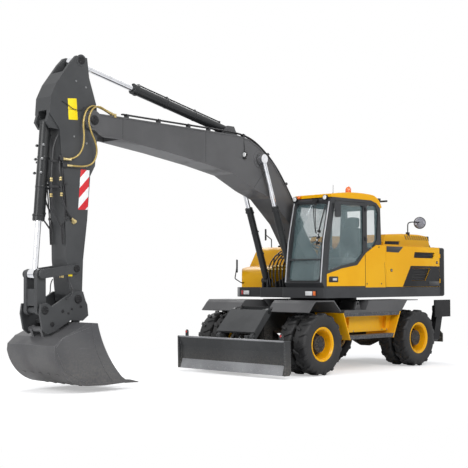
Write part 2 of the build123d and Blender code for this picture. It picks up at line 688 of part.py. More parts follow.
# ---- upper frame, counterweight, body -----------------------------------------------------
BRACKET_THICK = 30.0
EYE_PLATE_HALF = 52.0
TAPER_FROM_X = 915.0
RIGHT_FRONT_X = 1050.0
RIGHT_CORNER_Y = 190.0 - HALF_WIDTH
FRAME_CORNER = 40.0
LAMP_BAY_DEPTH = 14.0
# lamp bays in the frame's front faces, as (face, from, to)
LAMP_BAYS = ((FRAME_FRONT_X, 812.0, 1074.0), (RIGHT_FRONT_X, -1012.0, -790.0))
ram_x, ram_z = BOOM_RAM_FOOT
with BuildPart() as upper_frame:
    with BuildSketch(Plane.XY.offset(RING_TOP_Z)) as frame_plan:
        Polygon(
            *[
                (MID_X + x, y)
                for x, y in (
                    (FRAME_FRONT_X, 278), (FRAME_FRONT_X, HALF_WIDTH), (WEIGHT_FRONT_X + 1, HALF_WIDTH),
                    (WEIGHT_FRONT_X + 1, -HALF_WIDTH), (TAPER_FROM_X, -HALF_WIDTH),
                    (RIGHT_FRONT_X, RIGHT_CORNER_Y), (RIGHT_FRONT_X, -380), (1240, -380), (1240, 278),
                )
            ],
            align=None,
        )
        fillet(frame_plan.vertices().filter_by_position(Axis.X, MID_X + 900, MID_X + 1400), FRAME_CORNER)
    extrude(amount=FRAME_TOP_Z - RING_TOP_Z)
    for face_x, y_from, y_to in LAMP_BAYS:
        block(face_x - LAMP_BAY_DEPTH, face_x + 1, y_from, y_to, 1332, 1430, mode=Mode.SUBTRACT)
    for hand, sign in SIDES:
        slab(
            [
                (-370, 1470), (-100, 1850), (200, 1960), (420, 1960), (700, 1650), (960, 1560),
                (960, 1400), (-370, 1400),
            ],
            sign * (BOOM_HALF + 6 + BRACKET_THICK / 2), BRACKET_THICK,
        )
        for plate_y in (BOOM_HALF + 19, BOOM_RAM_Y + 58):
            slab(
                [
                    (ram_x - EYE_PLATE_HALF, 1400), (ram_x + EYE_PLATE_HALF, 1400),
                    (ram_x + EYE_PLATE_HALF, ram_z), (ram_x - EYE_PLATE_HALF, ram_z),
                ],
                sign * plate_y, 26,
            )
            cross_bar(BOOM_RAM_FOOT, EYE_PLATE_HALF, sign * plate_y - 13, sign * plate_y + 13)
        cross_bar(
            BOOM_RAM_FOOT, PIN_RADIUS - 5,
            *span(sign, (BOOM_HALF + 6), (BOOM_RAM_Y + 71)),
        )
    cross_bar(BOOM_FOOT, PIN_RADIUS, -BOOM_HALF - 36, BOOM_HALF + 36)
write(upper_frame, "upper_frame")

# plan of the counterweight's back, as (x, y of the left half, corner radius)
WEIGHT_CORNERS = ((-2330.0, HALF_WIDTH, 150.0), (-2740.0, HALF_WIDTH - 450, 600.0), (TAIL_X, 0.0, 1800.0))
WEIGHT_EDGE = 40.0
with BuildPart() as counterweight:
    left_corners = [(WEIGHT_FRONT_X, HALF_WIDTH)] + [(x, y) for x, y, r in WEIGHT_CORNERS]
    right_corners = [(x, -y) for x, y in reversed(left_corners[:-1])]
    with BuildSketch(Plane.XY.offset(RING_TOP_Z)) as weight_plan:
        Polygon(*[(MID_X + x, y) for x, y in left_corners + right_corners], align=None)
        for x, y, radius in WEIGHT_CORNERS:
            fillet(weight_plan.vertices().filter_by_position(Axis.X, MID_X + x - 1, MID_X + x + 1), radius)
    extrude(amount=BODY_TOP_Z - RING_TOP_Z)
    for level in (0, -1):
        fillet(counterweight.edges().group_by(Axis.Z)[level].sort_by(Axis.X)[:-1], WEIGHT_EDGE)
write(counterweight, "counterweight")

SKIN = 40.0
WELL_Z = FRAME_TOP_Z + FIT_GAP
with BuildPart() as engine:
    block(-1950, -1250, -650, 750, FRAME_TOP_Z + FIT_GAP, 2150)
write(engine, "engine")

DECK_Z = BODY_TOP_Z
SHELL_Y = HALF_WIDTH - SKIN - FIT_GAP
with BuildPart() as body_shell:
    block(WEIGHT_FRONT_X + 2, -380, -SHELL_Y, SHELL_Y, DECK_Z - 30, DECK_Z)
    block(-420, -380, -SHELL_Y, SHELL_Y, WELL_Z, DECK_Z)
    block(WEIGHT_FRONT_X + 2, WEIGHT_FRONT_X + 40, -SHELL_Y, SHELL_Y, WELL_Z, DECK_Z)
write(body_shell, "body_shell")

HOOD_HALF = 900.0
HOOD_WALL = 40.0
HOOD_HINGE = (-775.0, DECK_Z + 6.0)
HINGE_BARREL = 5.5
LOUVRES = 11
# one louvre, as (x, z) of its corners, and the next one's distance
LOUVRE = [(-1496, 2468), (-1468, 2468), (-1525, 2389), (-1553, 2389)]
LOUVRE_PITCH = 76.5
with BuildPart() as hood:
    slab(
        [(-780, 2330), (-860, 2470), (-1440, HOOD_TOP_Z), (-1960, HOOD_TOP_Z), (-2270, 2465), (-2330, 2300),
         (-2330, DECK_Z + FIT_GAP), (-780, DECK_Z + FIT_GAP)],
        0, 2 * HOOD_HALF,
    )
    with BuildSketch(Plane.YZ.offset(MID_X - 2400)) as hood_end:
        Rectangle(2 * HOOD_HALF, 2 * (HOOD_TOP_Z + 1))
        fillet(hood_end.vertices().group_by(Axis.Y)[-1], 55)
    extrude(amount=1700, mode=Mode.INTERSECT)
    slab(
        [(-820, 2320), (-880, 2435), (-1440, 2465), (-1960, 2465), (-2240, 2430), (-2290, 2300),
         (-2290, DECK_Z), (-820, DECK_Z)],
        0, 2 * (HOOD_HALF - HOOD_WALL), mode=Mode.SUBTRACT,
    )
    for hand, sign in SIDES:
        for number in range(LOUVRES):
            slab(
                [(x - number * LOUVRE_PITCH, z) for x, z in LOUVRE],
                sign * (HOOD_HALF - HOOD_WALL / 2), HOOD_WALL + 2, mode=Mode.SUBTRACT,
            )
        slab(
            [(-852, 2345), (-1326, 2352), (-1300, 2283), (-826, 2283)], sign * HOOD_HALF, 24,
            mode=Mode.SUBTRACT, rounding=8,
        )
        cross_bar(HOOD_HINGE, HINGE_BARREL, sign * 700 - 60, sign * 700 + 60)
write(hood, "engine_hood")

DOOR_FRONT_X = -386.0
SERVICE_HINGE = (-2144.0, HALF_WIDTH + 6.0)
SERVICE_BARREL = 8.0
PANEL_RECESS = 6.0
VENT_DEPTH = 25.0
for hand, sign in SIDES:
    face_y = sign * HALF_WIDTH
    with BuildPart() as service_door:
        slab(
            [
                (DOOR_FRONT_X, WELL_Z + 6), (DOOR_FRONT_X, DECK_Z),
                (WEIGHT_FRONT_X + 8, DECK_Z), (WEIGHT_FRONT_X + 8, WELL_Z + 6),
            ],
            sign * (HALF_WIDTH - SKIN / 2), SKIN,
        )
        slab(
            [(-1200, 1868), (-925, WELL_Z), (-2120, WELL_Z), (-2120, 1868)], face_y, 2 * PANEL_RECESS,
            mode=Mode.SUBTRACT,
        )
        slab(
            [(-1225, 1840), (-1830, 1840), (-1660, 1600), (-1200, 1600)], face_y, 2 * VENT_DEPTH,
            mode=Mode.SUBTRACT, rounding=20,
        )
        slab(
            [(-1300, 2140), (-1985, 2140), (-1920, 2028), (-1270, 2028)], face_y, 2 * VENT_DEPTH,
            mode=Mode.SUBTRACT, rounding=15,
        )
        for barrel_z in (1600, 2080):
            with Locations((MID_X + SERVICE_HINGE[0], sign * SERVICE_HINGE[1], barrel_z)):
                Cylinder(SERVICE_BARREL, 80)
    write(service_door, f"service_door_{hand}")

with BuildPart() as left_panel:
    slab(
        [(226, WELL_Z), (226, 2082), (-95, DECK_Z), (-378, DECK_Z), (-378, WELL_Z)],
        HALF_WIDTH - SKIN / 2, SKIN,
    )
write(left_panel, "left_panel")

NOSE_X = 1042.0
NOSE_CORNER_Y = 240.0 - HALF_WIDTH
SHOULDER_Y = 330.0 - HALF_WIDTH
TANK_INNER_Y = -400.0
with BuildPart() as tank:
    with BuildSketch(Plane.XZ.offset(-TANK_INNER_Y)) as tank_side:
        with BuildLine() as tank_line:
            Polyline(*side([(-378, WELL_Z), (NOSE_X, WELL_Z), (NOSE_X, 1600)]))
            ThreePointArc(*side([(NOSE_X, 1600), (985, 1765), (820, 1855)]))
            Polyline(*side([(820, 1855), (560, 1895), (385, 2170)]))
            ThreePointArc(*side([(385, 2170), (315, 2222), (200, DECK_Z)]))
            Polyline(*side([(200, DECK_Z), (-378, DECK_Z), (-378, WELL_Z)]))
        make_face()
    extrude(amount=TANK_INNER_Y + HALF_WIDTH)
    plan_plate(
        [(TAPER_FROM_X - 135, -HALF_WIDTH - 1), (NOSE_X + 1, NOSE_CORNER_Y), (NOSE_X + 1, -HALF_WIDTH - 1)],
        WELL_Z - 1, DECK_Z + 1, mode=Mode.SUBTRACT,
    )
    with BuildSketch(Plane.YZ.offset(MID_X + 562)) as shoulder:
        with BuildLine() as shoulder_line:
            ThreePointArc((-HALF_WIDTH - 1, 1600), (-HALF_WIDTH + 75, 1790), (SHOULDER_Y, 1896))
            Polyline(
                (SHOULDER_Y, 1896), (SHOULDER_Y, 1950), (-HALF_WIDTH - 1, 1950), (-HALF_WIDTH - 1, 1600)
            )
        make_face()
    extrude(amount=500, mode=Mode.SUBTRACT)
write(tank, "tank_cover")

# ---- cab ----------------------------------------------------------------------------------
CAB_SIDE = [
    (FRAME_FRONT_X, WELL_Z), (1440, 1560), (1360, 2280), (1195, 2985), (1160, CAB_ROOF_Z),
    (60, CAB_ROOF_Z), (-110, CAB_ROOF_Z - 45), (-215, CAB_ROOF_Z - 130), (CAB_REAR_X, WELL_Z),
]
CAB_ROOM = [
    (1310, 1540), (1345, 1620), (1270, 2270), (1115, 2940), (1060, 2985), (40, 2985),
    (-80, 2945), (-160, 2870), (-205, 1540),
]
CAB_MID_Y = 0.5 * (CAB_INNER_Y + HALF_WIDTH)
CAB_WIDTH = HALF_WIDTH - CAB_INNER_Y
DOOR_OUTLINE = [
    (246, 1500), (246, 2975), (1080, 2975), (1165, 2860), (1270, 2280), (1330, 1640), (1330, 1500),
]
DOOR_WINDOW = [
    (300, 2085), (300, 2925), (1045, 2925), (1113, 2830),
    (1232, 2270), (1285, 1765), (900, 1860), (490, 1925),
]
DOOR_SKIN = [(251, 1505), (251, 2066), (472, 1873), (910, 1810), (1321, 1712), (1325, 1505)]
QUARTER_WINDOW = [(185, 2950), (-70, 2950), (-150, 2815), (-110, 2335), (10, 2190), (185, 2175)]
SIDE_WINDOW = [(300, 1900), (300, 2900), (1050, 2900), (1180, 2280), (1230, 1900)]
REAR_WINDOW_Z = (2290.0, 2880.0)
SCREEN_SIDE = 75.0
SCREEN_Z = (1602.0, 2928.0)
SCREEN_CORNER = 70.0
SCREEN_BAR_Z = 1960.0
WINDOW_CORNER = 28.0
GLASS = 6.0
GLASS_INSET = 28.0
SCREEN_TOP = (1174.0, 2928.0)
SCREEN_LEAN = 0.1705


def pane(points, y):
    """A flat pane that fills a window of this outline, a fitting gap smaller all round."""
    with BuildSketch(Plane.XZ.offset(-y)) as window:
        Polygon(*side(points), align=None)
        fillet(window.vertices(), WINDOW_CORNER)
        offset(amount=-FIT_GAP)
    extrude(window.sketch, amount=GLASS / 2, both=True)


def screen_hole(gap):
    """The windscreen's opening seen from the front, less a gap all round, run through the front wall."""
    with BuildSketch(Plane.YZ.offset(MID_X + 1000)) as hole:
        with Locations((CAB_MID_Y, 0.5 * (SCREEN_Z[0] + SCREEN_Z[1]))):
            RectangleRounded(
                CAB_WIDTH - 2 * (SCREEN_SIDE + gap),
                SCREEN_Z[1] - SCREEN_Z[0] - 2 * gap,
                SCREEN_CORNER - gap,
            )
    return hole.sketch


with BuildPart() as cab:
    slab(CAB_SIDE, CAB_MID_Y, CAB_WIDTH)
    slab(CAB_ROOM, CAB_MID_Y, CAB_WIDTH - 2 * CAB_WALL, mode=Mode.SUBTRACT)
    slab(
        [(240, 1494), (240, 2981), (1083, 2981), (1171, 2863), (1276, 2281), (1336, 1640), (1336, 1494)],
        HALF_WIDTH, 2 * CAB_WALL + 2, mode=Mode.SUBTRACT,
    )
    slab(QUARTER_WINDOW, CAB_MID_Y, CAB_WIDTH + 2, mode=Mode.SUBTRACT, rounding=WINDOW_CORNER)
    slab(SIDE_WINDOW, CAB_INNER_Y, 2 * CAB_WALL + 2, mode=Mode.SUBTRACT, rounding=WINDOW_CORNER)
    extrude(screen_hole(0), amount=500, mode=Mode.SUBTRACT)
    slab([(1352, 1949), (1352, 1971), (1388, 1971), (1388, 1949)], CAB_MID_Y, CAB_WIDTH - 2 * SCREEN_SIDE + 4)
    block(
        -400, -100, CAB_MID_Y - 0.5 * CAB_WIDTH + 100, CAB_MID_Y + 0.5 * CAB_WIDTH - 100, *REAR_WINDOW_Z,
        mode=Mode.SUBTRACT,
    )
    slab(
        [(236, 1400), (236, 2088), (-92, DECK_Z + 10), (-400, DECK_Z + 10), (-400, 1400)],
        HALF_WIDTH, 2 * (SKIN + FIT_GAP), mode=Mode.SUBTRACT,
    )
    for hinge_z in DOOR_HINGE_Z:
        block(205, DOOR_HINGE_X - 4, HALF_WIDTH - 1, HALF_WIDTH + 22, hinge_z - 30, hinge_z + 30)
        with Locations((MID_X + DOOR_HINGE_X, DOOR_HINGE_Y, hinge_z - 30)):
            Cylinder(8, 90, align=STANDING)
write(cab, "cab_shell")

ROOF_SIDE_INSET = 10.0
ROOF_ROUND = 28.0
ROOF_SEAT = CAB_ROOF_Z + 2 * FIT_GAP
with BuildPart() as roof:
    with BuildSketch(Plane.XZ.offset(-CAB_MID_Y)) as roof_side:
        with BuildLine() as roof_line:
            crown = ThreePointArc(*side([(1172, 3089), (600, 3148), (0, 3142)]))
            TangentArc(*side([(0, 3142), (-262, 2991)]), tangent=crown % 1)
            Polyline(
                *side(
                    [
                        (-262, 2991), (-282, 2925), (-222, ROOF_SEAT - 131), (-110, ROOF_SEAT - 44),
                        (60, ROOF_SEAT), (1178, ROOF_SEAT), (1172, 3089),
                    ]
                )
            )
        make_face()
    extrude(amount=0.5 * CAB_WIDTH - ROOF_SIDE_INSET, both=True)
    for end_face in (0, -1):
        fillet(
            roof.faces().sort_by(Axis.Y)[end_face].edges().filter_by_position(Axis.Z, 3090, 3200), ROOF_ROUND
        )
write(roof, "cab_roof")

MIRROR_FACE_Y = HALF_WIDTH + 55.0
with BuildPart() as cab_door:
    slab(DOOR_OUTLINE, HALF_WIDTH - 0.5 * CAB_WALL, CAB_WALL)
    slab(DOOR_WINDOW, HALF_WIDTH - 0.5 * CAB_WALL, CAB_WALL + 2, mode=Mode.SUBTRACT, rounding=WINDOW_CORNER)
    for hinge_z in DOOR_HINGE_Z:
        with Locations((MID_X + DOOR_HINGE_X, DOOR_HINGE_Y, hinge_z + 30 + FIT_GAP)):
            Cylinder(15, 29, align=STANDING)
        block(
            DOOR_HINGE_X + 7, DOOR_HINGE_X + 40, HALF_WIDTH - 1, HALF_WIDTH + 20,
            hinge_z + 30 + FIT_GAP, hinge_z + 59 + FIT_GAP,
        )
        with Locations((MID_X + DOOR_HINGE_X, DOOR_HINGE_Y, hinge_z + 20)):
            Cylinder(8 + PIN_PLAY, 60, align=STANDING, mode=Mode.SUBTRACT)
    block(1118, 1136, HALF_WIDTH - 1, MIRROR_FACE_Y, 2790, 2808)
    mirror_plane = Plane(origin=(MID_X + 1085, MIRROR_FACE_Y, 2810), x_dir=(1, -1, 0), z_dir=(1, 1, 0))
    with BuildSketch(mirror_plane) as mirror_shell:
        RectangleRounded(110, 250, 30)
    extrude(amount=15, both=True)
write(cab_door, "cab_door")

SKIN_PLATE = 5.0
with BuildPart() as door_skin:
    slab(DOOR_SKIN, HALF_WIDTH + FIT_GAP + SKIN_PLATE / 2, SKIN_PLATE)
    slab(
        [(1277, 1571), (1014, 1571), (1014, 1671), (1265, 1671)], HALF_WIDTH, 4 * SKIN_PLATE,
        mode=Mode.SUBTRACT, rounding=18,
    )
write(door_skin, "door_skin")

with BuildPart() as door_glass:
    pane(DOOR_WINDOW, HALF_WIDTH - GLASS_INSET)
write(door_glass, "door_glass")

with BuildPart() as windscreen:
    for z_from, z_to in ((SCREEN_Z[0], SCREEN_BAR_Z - 11.5), (SCREEN_BAR_Z + 11.5, SCREEN_Z[1])):
        slab(
            [(SCREEN_TOP[0] + (SCREEN_Z[1] - z) * SCREEN_LEAN + back, z) for z, back in
             ((z_from, 0), (z_to, 0), (z_to, -GLASS), (z_from, -GLASS))],
            CAB_MID_Y,
            CAB_WIDTH,
        )
    extrude(screen_hole(FIT_GAP), amount=500, mode=Mode.INTERSECT)

with BuildPart() as cab_glass:
    add(windscreen.part)
    for pane_y in (CAB_INNER_Y + GLASS_INSET, HALF_WIDTH - GLASS_INSET):
        pane(QUARTER_WINDOW, pane_y)
    pane(SIDE_WINDOW, CAB_INNER_Y + GLASS_INSET)
write(cab_glass, "cab_glass")

SEAT_HALF = 240.0
ROOM_FLOOR_Z = 1540.0 + FIT_GAP
CONSOLE_HALF = 50.0
CONSOLE_Y = 0.5 * CAB_WIDTH - CAB_WALL - 4 - CONSOLE_HALF
WHEEL_RADIUS = 196.0
with BuildPart() as seat:
    slab(
        [(120, 1860), (590, 1860), (610, 1940), (590, 1990), (200, 1980), (120, 1960)],
        CAB_MID_Y, 2 * SEAT_HALF, rounding=15,
    )
    slab(
        [(60, 1900), (190, 1900), (150, 2300), (110, 2560), (0, 2560), (20, 2300)],
        CAB_MID_Y, 2 * SEAT_HALF - 20, rounding=30,
    )
    slab([(20, 2550), (90, 2550), (85, 2740), (10, 2740)], CAB_MID_Y, 270, rounding=25)
    block(180, 520, CAB_MID_Y - 180, CAB_MID_Y + 180, ROOM_FLOOR_Z, 1870)
write(seat, "operator_seat")

with BuildPart() as console:
    for sign in (-1, 1):
        slab(
            [(160, ROOM_FLOOR_Z), (700, ROOM_FLOOR_Z), (700, 1970), (560, 2010), (160, 2010)],
            CAB_MID_Y + sign * CONSOLE_Y, 2 * CONSOLE_HALF, rounding=12,
        )
        slab(
            [(600, 1990), (650, 1980), (640, 2088), (604, 2090)],
            CAB_MID_Y + sign * CONSOLE_Y, 40, rounding=12,
        )
    slab([(960, ROOM_FLOOR_Z), (1080, ROOM_FLOOR_Z), (960, 2150), (900, 2150)], CAB_MID_Y, 110)
    wheel_plane = Plane(origin=(MID_X + 920, CAB_MID_Y, 2190), x_dir=(0, 1, 0), z_dir=(-0.45, 0, 1))
    with BuildSketch(wheel_plane) as steering_ring:
        Circle(WHEEL_RADIUS)
        Circle(WHEEL_RADIUS - 30, mode=Mode.SUBTRACT)
        for spoke_turn in (-30, 90, 210):
            with Locations(Rotation(0, 0, spoke_turn)):
                with Locations((0.5 * WHEEL_RADIUS, 0)):
                    Rectangle(WHEEL_RADIUS - 20, 26)
    extrude(amount=11, both=True)
    with BuildSketch(wheel_plane) as steering_hub:
        Circle(45)
    extrude(amount=48, both=True)
write(console, "cab_console")

# ---- lamps and mirrors --------------------------------------------------------------------
LAMP_PROUD = 8.0
ROOF_LAMP_RADIUS = 44.0
ROOF_LAMP_Z = 2985.0 + ROOF_LAMP_RADIUS
ROOF_LAMP_BACK_X = 1195.0 + FIT_GAP
with BuildPart() as work_lamps:
    for face_x, y_from, y_to in LAMP_BAYS:
        block(
            face_x - LAMP_BAY_DEPTH + FIT_GAP, face_x + LAMP_PROUD, y_from + FIT_GAP, y_to - FIT_GAP,
            1332 + FIT_GAP, 1430 - FIT_GAP,
        )
    for lamp_y in (CAB_INNER_Y + 60, HALF_WIDTH - 110):
        with BuildSketch(Plane.YZ.offset(MID_X + ROOF_LAMP_BACK_X)) as lamp_round:
            with Locations((lamp_y, ROOF_LAMP_Z)):
                Circle(ROOF_LAMP_RADIUS)
        extrude(amount=42)
write(work_lamps, "work_lamps")

MIRROR_ARM = 10.0
MIRROR_BEND = 30.0
# right-hand mirrors: (middle of the plate, half width, half height, way of the arm from its foot)
MIRRORS = (
    (
        (1050.0, -1130.0, 1874.0), 75.0, 122.0,
        ((NOSE_X + FIT_GAP, -960.0, 1560.0), (NOSE_X + 62, -960.0, 1560.0), (NOSE_X + 40, -1150.0, 1640.0)),
    ),
    (
        (300.0, -1085.0, 2487.0), 60.0, 111.0,
        ((130.0, -1085.0, DECK_Z + FIT_GAP), (130.0, -1085.0, 2400.0)),
    ),
)
with BuildPart() as mirrors:
    for (x, y, z), half, tall, way in MIRRORS:
        with BuildSketch(Plane(origin=(MID_X + x, y, z), x_dir=(1, 1, 0), z_dir=(1, -1, 0))) as plate:
            RectangleRounded(2 * half, 2 * tall, 28)
        extrude(amount=14, both=True)
        stations = [(MID_X + px, py, pz) for px, py, pz in (*way, (x, y, z))]
        with BuildLine() as arm_path:
            FilletPolyline(*stations, radius=MIRROR_BEND)
        with BuildSketch(Plane(origin=stations[0], z_dir=arm_path.line % 0)):
            Circle(MIRROR_ARM)
        sweep(path=arm_path.line)
write(mirrors, "mirrors")

# ---- boom ---------------------------------------------------------------------------------
BOOM_SIDE = [
    (5560, 4080), (4900, 4080), (2450, 4065), (2150, 4020), (1900, 3910), (1520, 3640), (1180, 3230),
    (620, 2420), (230, 1920), (180, 1780), (280, 1670), (420, 1690), (780, 2150), (1120, 2620),
    (1630, 3040), (2020, 3170), (2540, 3400), (3230, 3520),
    (4130, 3640), (5040, 3740), (5300, 3740), (5560, 3850),
]
FLANGE_EDGE = 22.0
WEB_RECESS = 8.0
with BuildPart() as boom:
    slab(BOOM_SIDE, 0, 2 * BOOM_HALF)
    for hand, sign in SIDES:
        with BuildSketch(Plane.XZ.offset(-sign * BOOM_HALF)) as web:
            Polygon(*side(BOOM_SIDE), align=None)
            offset(amount=-FLANGE_EDGE)
            with Locations((MID_X + BOOM_FOOT[0], BOOM_FOOT[1])):
                Circle(170, mode=Mode.SUBTRACT)
            with Locations((MID_X + BOOM_RAM_EYE[0], BOOM_RAM_EYE[1])):
                Circle(150, mode=Mode.SUBTRACT)
        extrude(amount=WEB_RECESS, both=True, mode=Mode.SUBTRACT)
    cross_bar(BOOM_NOSE, 150, -BOOM_HALF, BOOM_HALF)
    cross_bar(BOOM_NOSE, 112, -BOOM_HALF - 12, BOOM_HALF + 12)
    slab([(5000, 3500), (5000, 4300), (5800, 4300), (5800, 3500)], 0, 2 * FORK_HALF, mode=Mode.SUBTRACT)
    cross_bar(BOOM_NOSE, PIN_RADIUS, -BOOM_HALF - 20, BOOM_HALF + 20)
    cross_bar(BOOM_FOOT, PIN_RADIUS + PIN_PLAY, -BOOM_HALF - 1, BOOM_HALF + 1, mode=Mode.SUBTRACT)
    cross_bar(BOOM_RAM_EYE, 95, -BOOM_RAM_Y + 44, BOOM_RAM_Y - 44)
    for y in (-105, 105):
        slab([(2300, 4020), (2420, 4225), (2570, 4225), (2750, 4020)], y, 40)
    cross_bar(ARM_RAM_FOOT, 35, -120, 120)
write(boom, "boom")

# hydraulic cylinders: (name, foot, eye, stations, barrel radius, rod radius, eye radius,
# barrel length, how far the rod runs out from rest, and in, half width of the eyes, pin radius)
RAMS = (
    (
        "boom", BOOM_RAM_FOOT, BOOM_RAM_EYE, (-BOOM_RAM_Y, BOOM_RAM_Y), 58, 40, 80,
        1380, 380, 670, 37, PIN_RADIUS - 5,
    ),
    ("arm", ARM_RAM_FOOT, ARM_RAM_EYE, (0,), 78, 46, 80, 2120, 500, 975, 78, 35),
    ("bucket", BUCKET_RAM_FOOT, ROCKER_END, (0,), 78, 42, 80, 1430, 575, 525, 74.7, 35),
)
GLAND = 10.0
for name, foot, eye, stations, barrel_r, rod_r, eye_r, barrel_length, *travel, eye_half, pin_r in RAMS:
    run_out, run_in = travel
    length = reach(foot, eye)
    rod_back = barrel_length - run_out - 60
    with BuildPart() as barrel:
        for y in stations:
            cross_bar(foot, eye_r - 25, y - eye_half, y + eye_half)
            ram_bar(foot, eye, y, barrel_r, eye_r - 25, barrel_length)
            ram_bar(foot, eye, y, min(barrel_r, eye_half), 0, eye_r - 20)
            ram_bar(foot, eye, y, barrel_r + GLAND, barrel_length - 90, barrel_length)
            cross_bar(foot, pin_r + PIN_PLAY, y - barrel_r - 1, y + barrel_r + 1, mode=Mode.SUBTRACT)
            ram_bar(
                foot, eye, y, rod_r + PIN_PLAY, rod_back - run_in - 10, barrel_length + 1, mode=Mode.SUBTRACT
            )
    write(barrel, f"{name}_cylinder")
    with BuildPart() as rod:
        for y in stations:
            ram_bar(foot, eye, y, rod_r, rod_back, length - 40)
            cross_bar(eye, eye_r, y - eye_half, y + eye_half)
            if name == "boom":
                pin_side = 1 if y > 0 else -1
                cross_bar(eye, pin_r, *sorted((pin_side * (BOOM_RAM_Y - 43.7), y)))
    write(rod, f"{name}_rod")

# ---- arm ----------------------------------------------------------------------------------
ARM_SIDE = [
    (5600, 4890), (5800, 4900), (5900, 4790), (6150, 4450), (6250, 4240), (6265, 4000), (6080, 3780),
    (5960, 2260), (5950, 1900), (5890, 1400), (5855, 1270),
    (5790, 1225), (5710, 1270), (5665, 1400), (5650, 1900),
    (5580, 2480), (5530, 3140), (5440, 3300), (5390, 3900), (5420, 4200), (5560, 4600),
]
with BuildPart() as arm:
    slab(ARM_SIDE, 0, 2 * ARM_HALF)
    cross_bar(BOOM_NOSE, PIN_RADIUS + PIN_PLAY, -ARM_HALF - 1, ARM_HALF + 1, mode=Mode.SUBTRACT)
    slab([(5300, 4450), (5300, 5000), (6100, 5000), (5960, 4450)], 0, 260, mode=Mode.SUBTRACT)
    slab([(6060, 3650), (6060, 4050), (6400, 4050), (6400, 3650)], 0, 200, mode=Mode.SUBTRACT)
    for y in (-135, 135):
        slab([(6060, 3780), (6060, 4000), (6265, 4000), (6300, 3885), (6230, 3790)], y, 50)
    for sign in (1, -1):
        cross_bar(ARM_RAM_EYE, 45, *span(sign, 78.3, ARM_HALF))
    cross_bar(ARM_TIP, 84, -ARM_HALF - 7, ARM_HALF + 7)
    cross_bar(ARM_RAM_EYE, 88, -ARM_HALF - 8, -ARM_HALF + 1)
    cross_bar(ARM_RAM_EYE, 88, ARM_HALF - 1, ARM_HALF + 8)
    cross_bar(BUCKET_RAM_FOOT, 35, -150, 150)
    cross_bar(ROCKER_PIVOT, PIN_RADIUS - 10, -COUPLER_INNER_Y + 2, COUPLER_INNER_Y - 2)
    tip_pin_end = COUPLER_INNER_Y + COUPLER_PLATE + 8
    cross_bar(ARM_TIP, PIN_RADIUS - 8, -tip_pin_end, tip_pin_end)
write(arm, "arm")

# ---- bucket linkage, coupler and bucket ---------------------------------------------------
with BuildPart() as rocker:
    for hand, sign in SIDES:
        link_bar(
            ROCKER_PIVOT, ROCKER_END, sign * (ARM_HALF + 8 + ROCKER_THICK / 2), ROCKER_THICK, 130,
            PIN_RADIUS - 10 + PIN_PLAY,
        )
    for hand, sign in SIDES:
        pin_ends = (sign * 75, sign * (COUPLER_INNER_Y - 2))
        cross_bar(ROCKER_END, PIN_RADIUS, min(pin_ends), max(pin_ends))
write(rocker, "bucket_rocker")

with BuildPart() as bucket_link:
    for y in (-130, 130):
        link_bar(ROCKER_END, LINK_END, y, 70, 150, PIN_RADIUS + PIN_PLAY)
    cross_bar(LINK_END, PIN_RADIUS, -COUPLER_INNER_Y + FIT_GAP, COUPLER_INNER_Y - FIT_GAP)
    slab([(6305, 1240), (6430, 1240), (6430, 1480), (6305, 1480)], 0, 200)
write(bucket_link, "bucket_link")

COUPLER_SIDE = [
    (5700, 1440), (5880, 1440), (6240, 1230), (6330, 1280),
    (6430, 1270), (6450, 1130), (6400, 900), (6310, 835),
    (6185, 880), (5925, 1025), (5840, 1025), (5700, 1015), (5600, 1090), (5620, 1250), (5650, 1300),
]
BUCKET_PIN_REAR = (5705.0, 1095.0)
BUCKET_PIN_FRONT = (6290.0, 905.0)
with BuildPart() as coupler:
    for hand, sign in SIDES:
        plate_y = sign * (COUPLER_INNER_Y + COUPLER_PLATE / 2)
        slab(COUPLER_SIDE, plate_y, COUPLER_PLATE)
        cross_bar(
            ARM_TIP, PIN_RADIUS - 8 + PIN_PLAY, plate_y - COUPLER_PLATE, plate_y + COUPLER_PLATE,
            mode=Mode.SUBTRACT,
        )
    slab([(5800, 1120), (6190, 990), (6205, 1030), (5815, 1165)], 0, 2 * COUPLER_INNER_Y + 2)
write(coupler, "quick_coupler")

BUCKET_HALF = 580.0
BUCKET_CHEEK = 25.0
BUCKET_WEAR = 6.0
BUCKET_TEETH = 5


def bucket_profile(front_arc, lip, heel_arc, back):
    """A side outline of the bucket: curved front edge, lip, curved heel, then back to the start."""
    with BuildLine() as line:
        ThreePointArc(*side(front_arc))
        Polyline(*side([front_arc[-1], *lip, heel_arc[0]]))
        ThreePointArc(*side(heel_arc))
        Polyline(*side([heel_arc[-1], *back, front_arc[0]]))
    return line


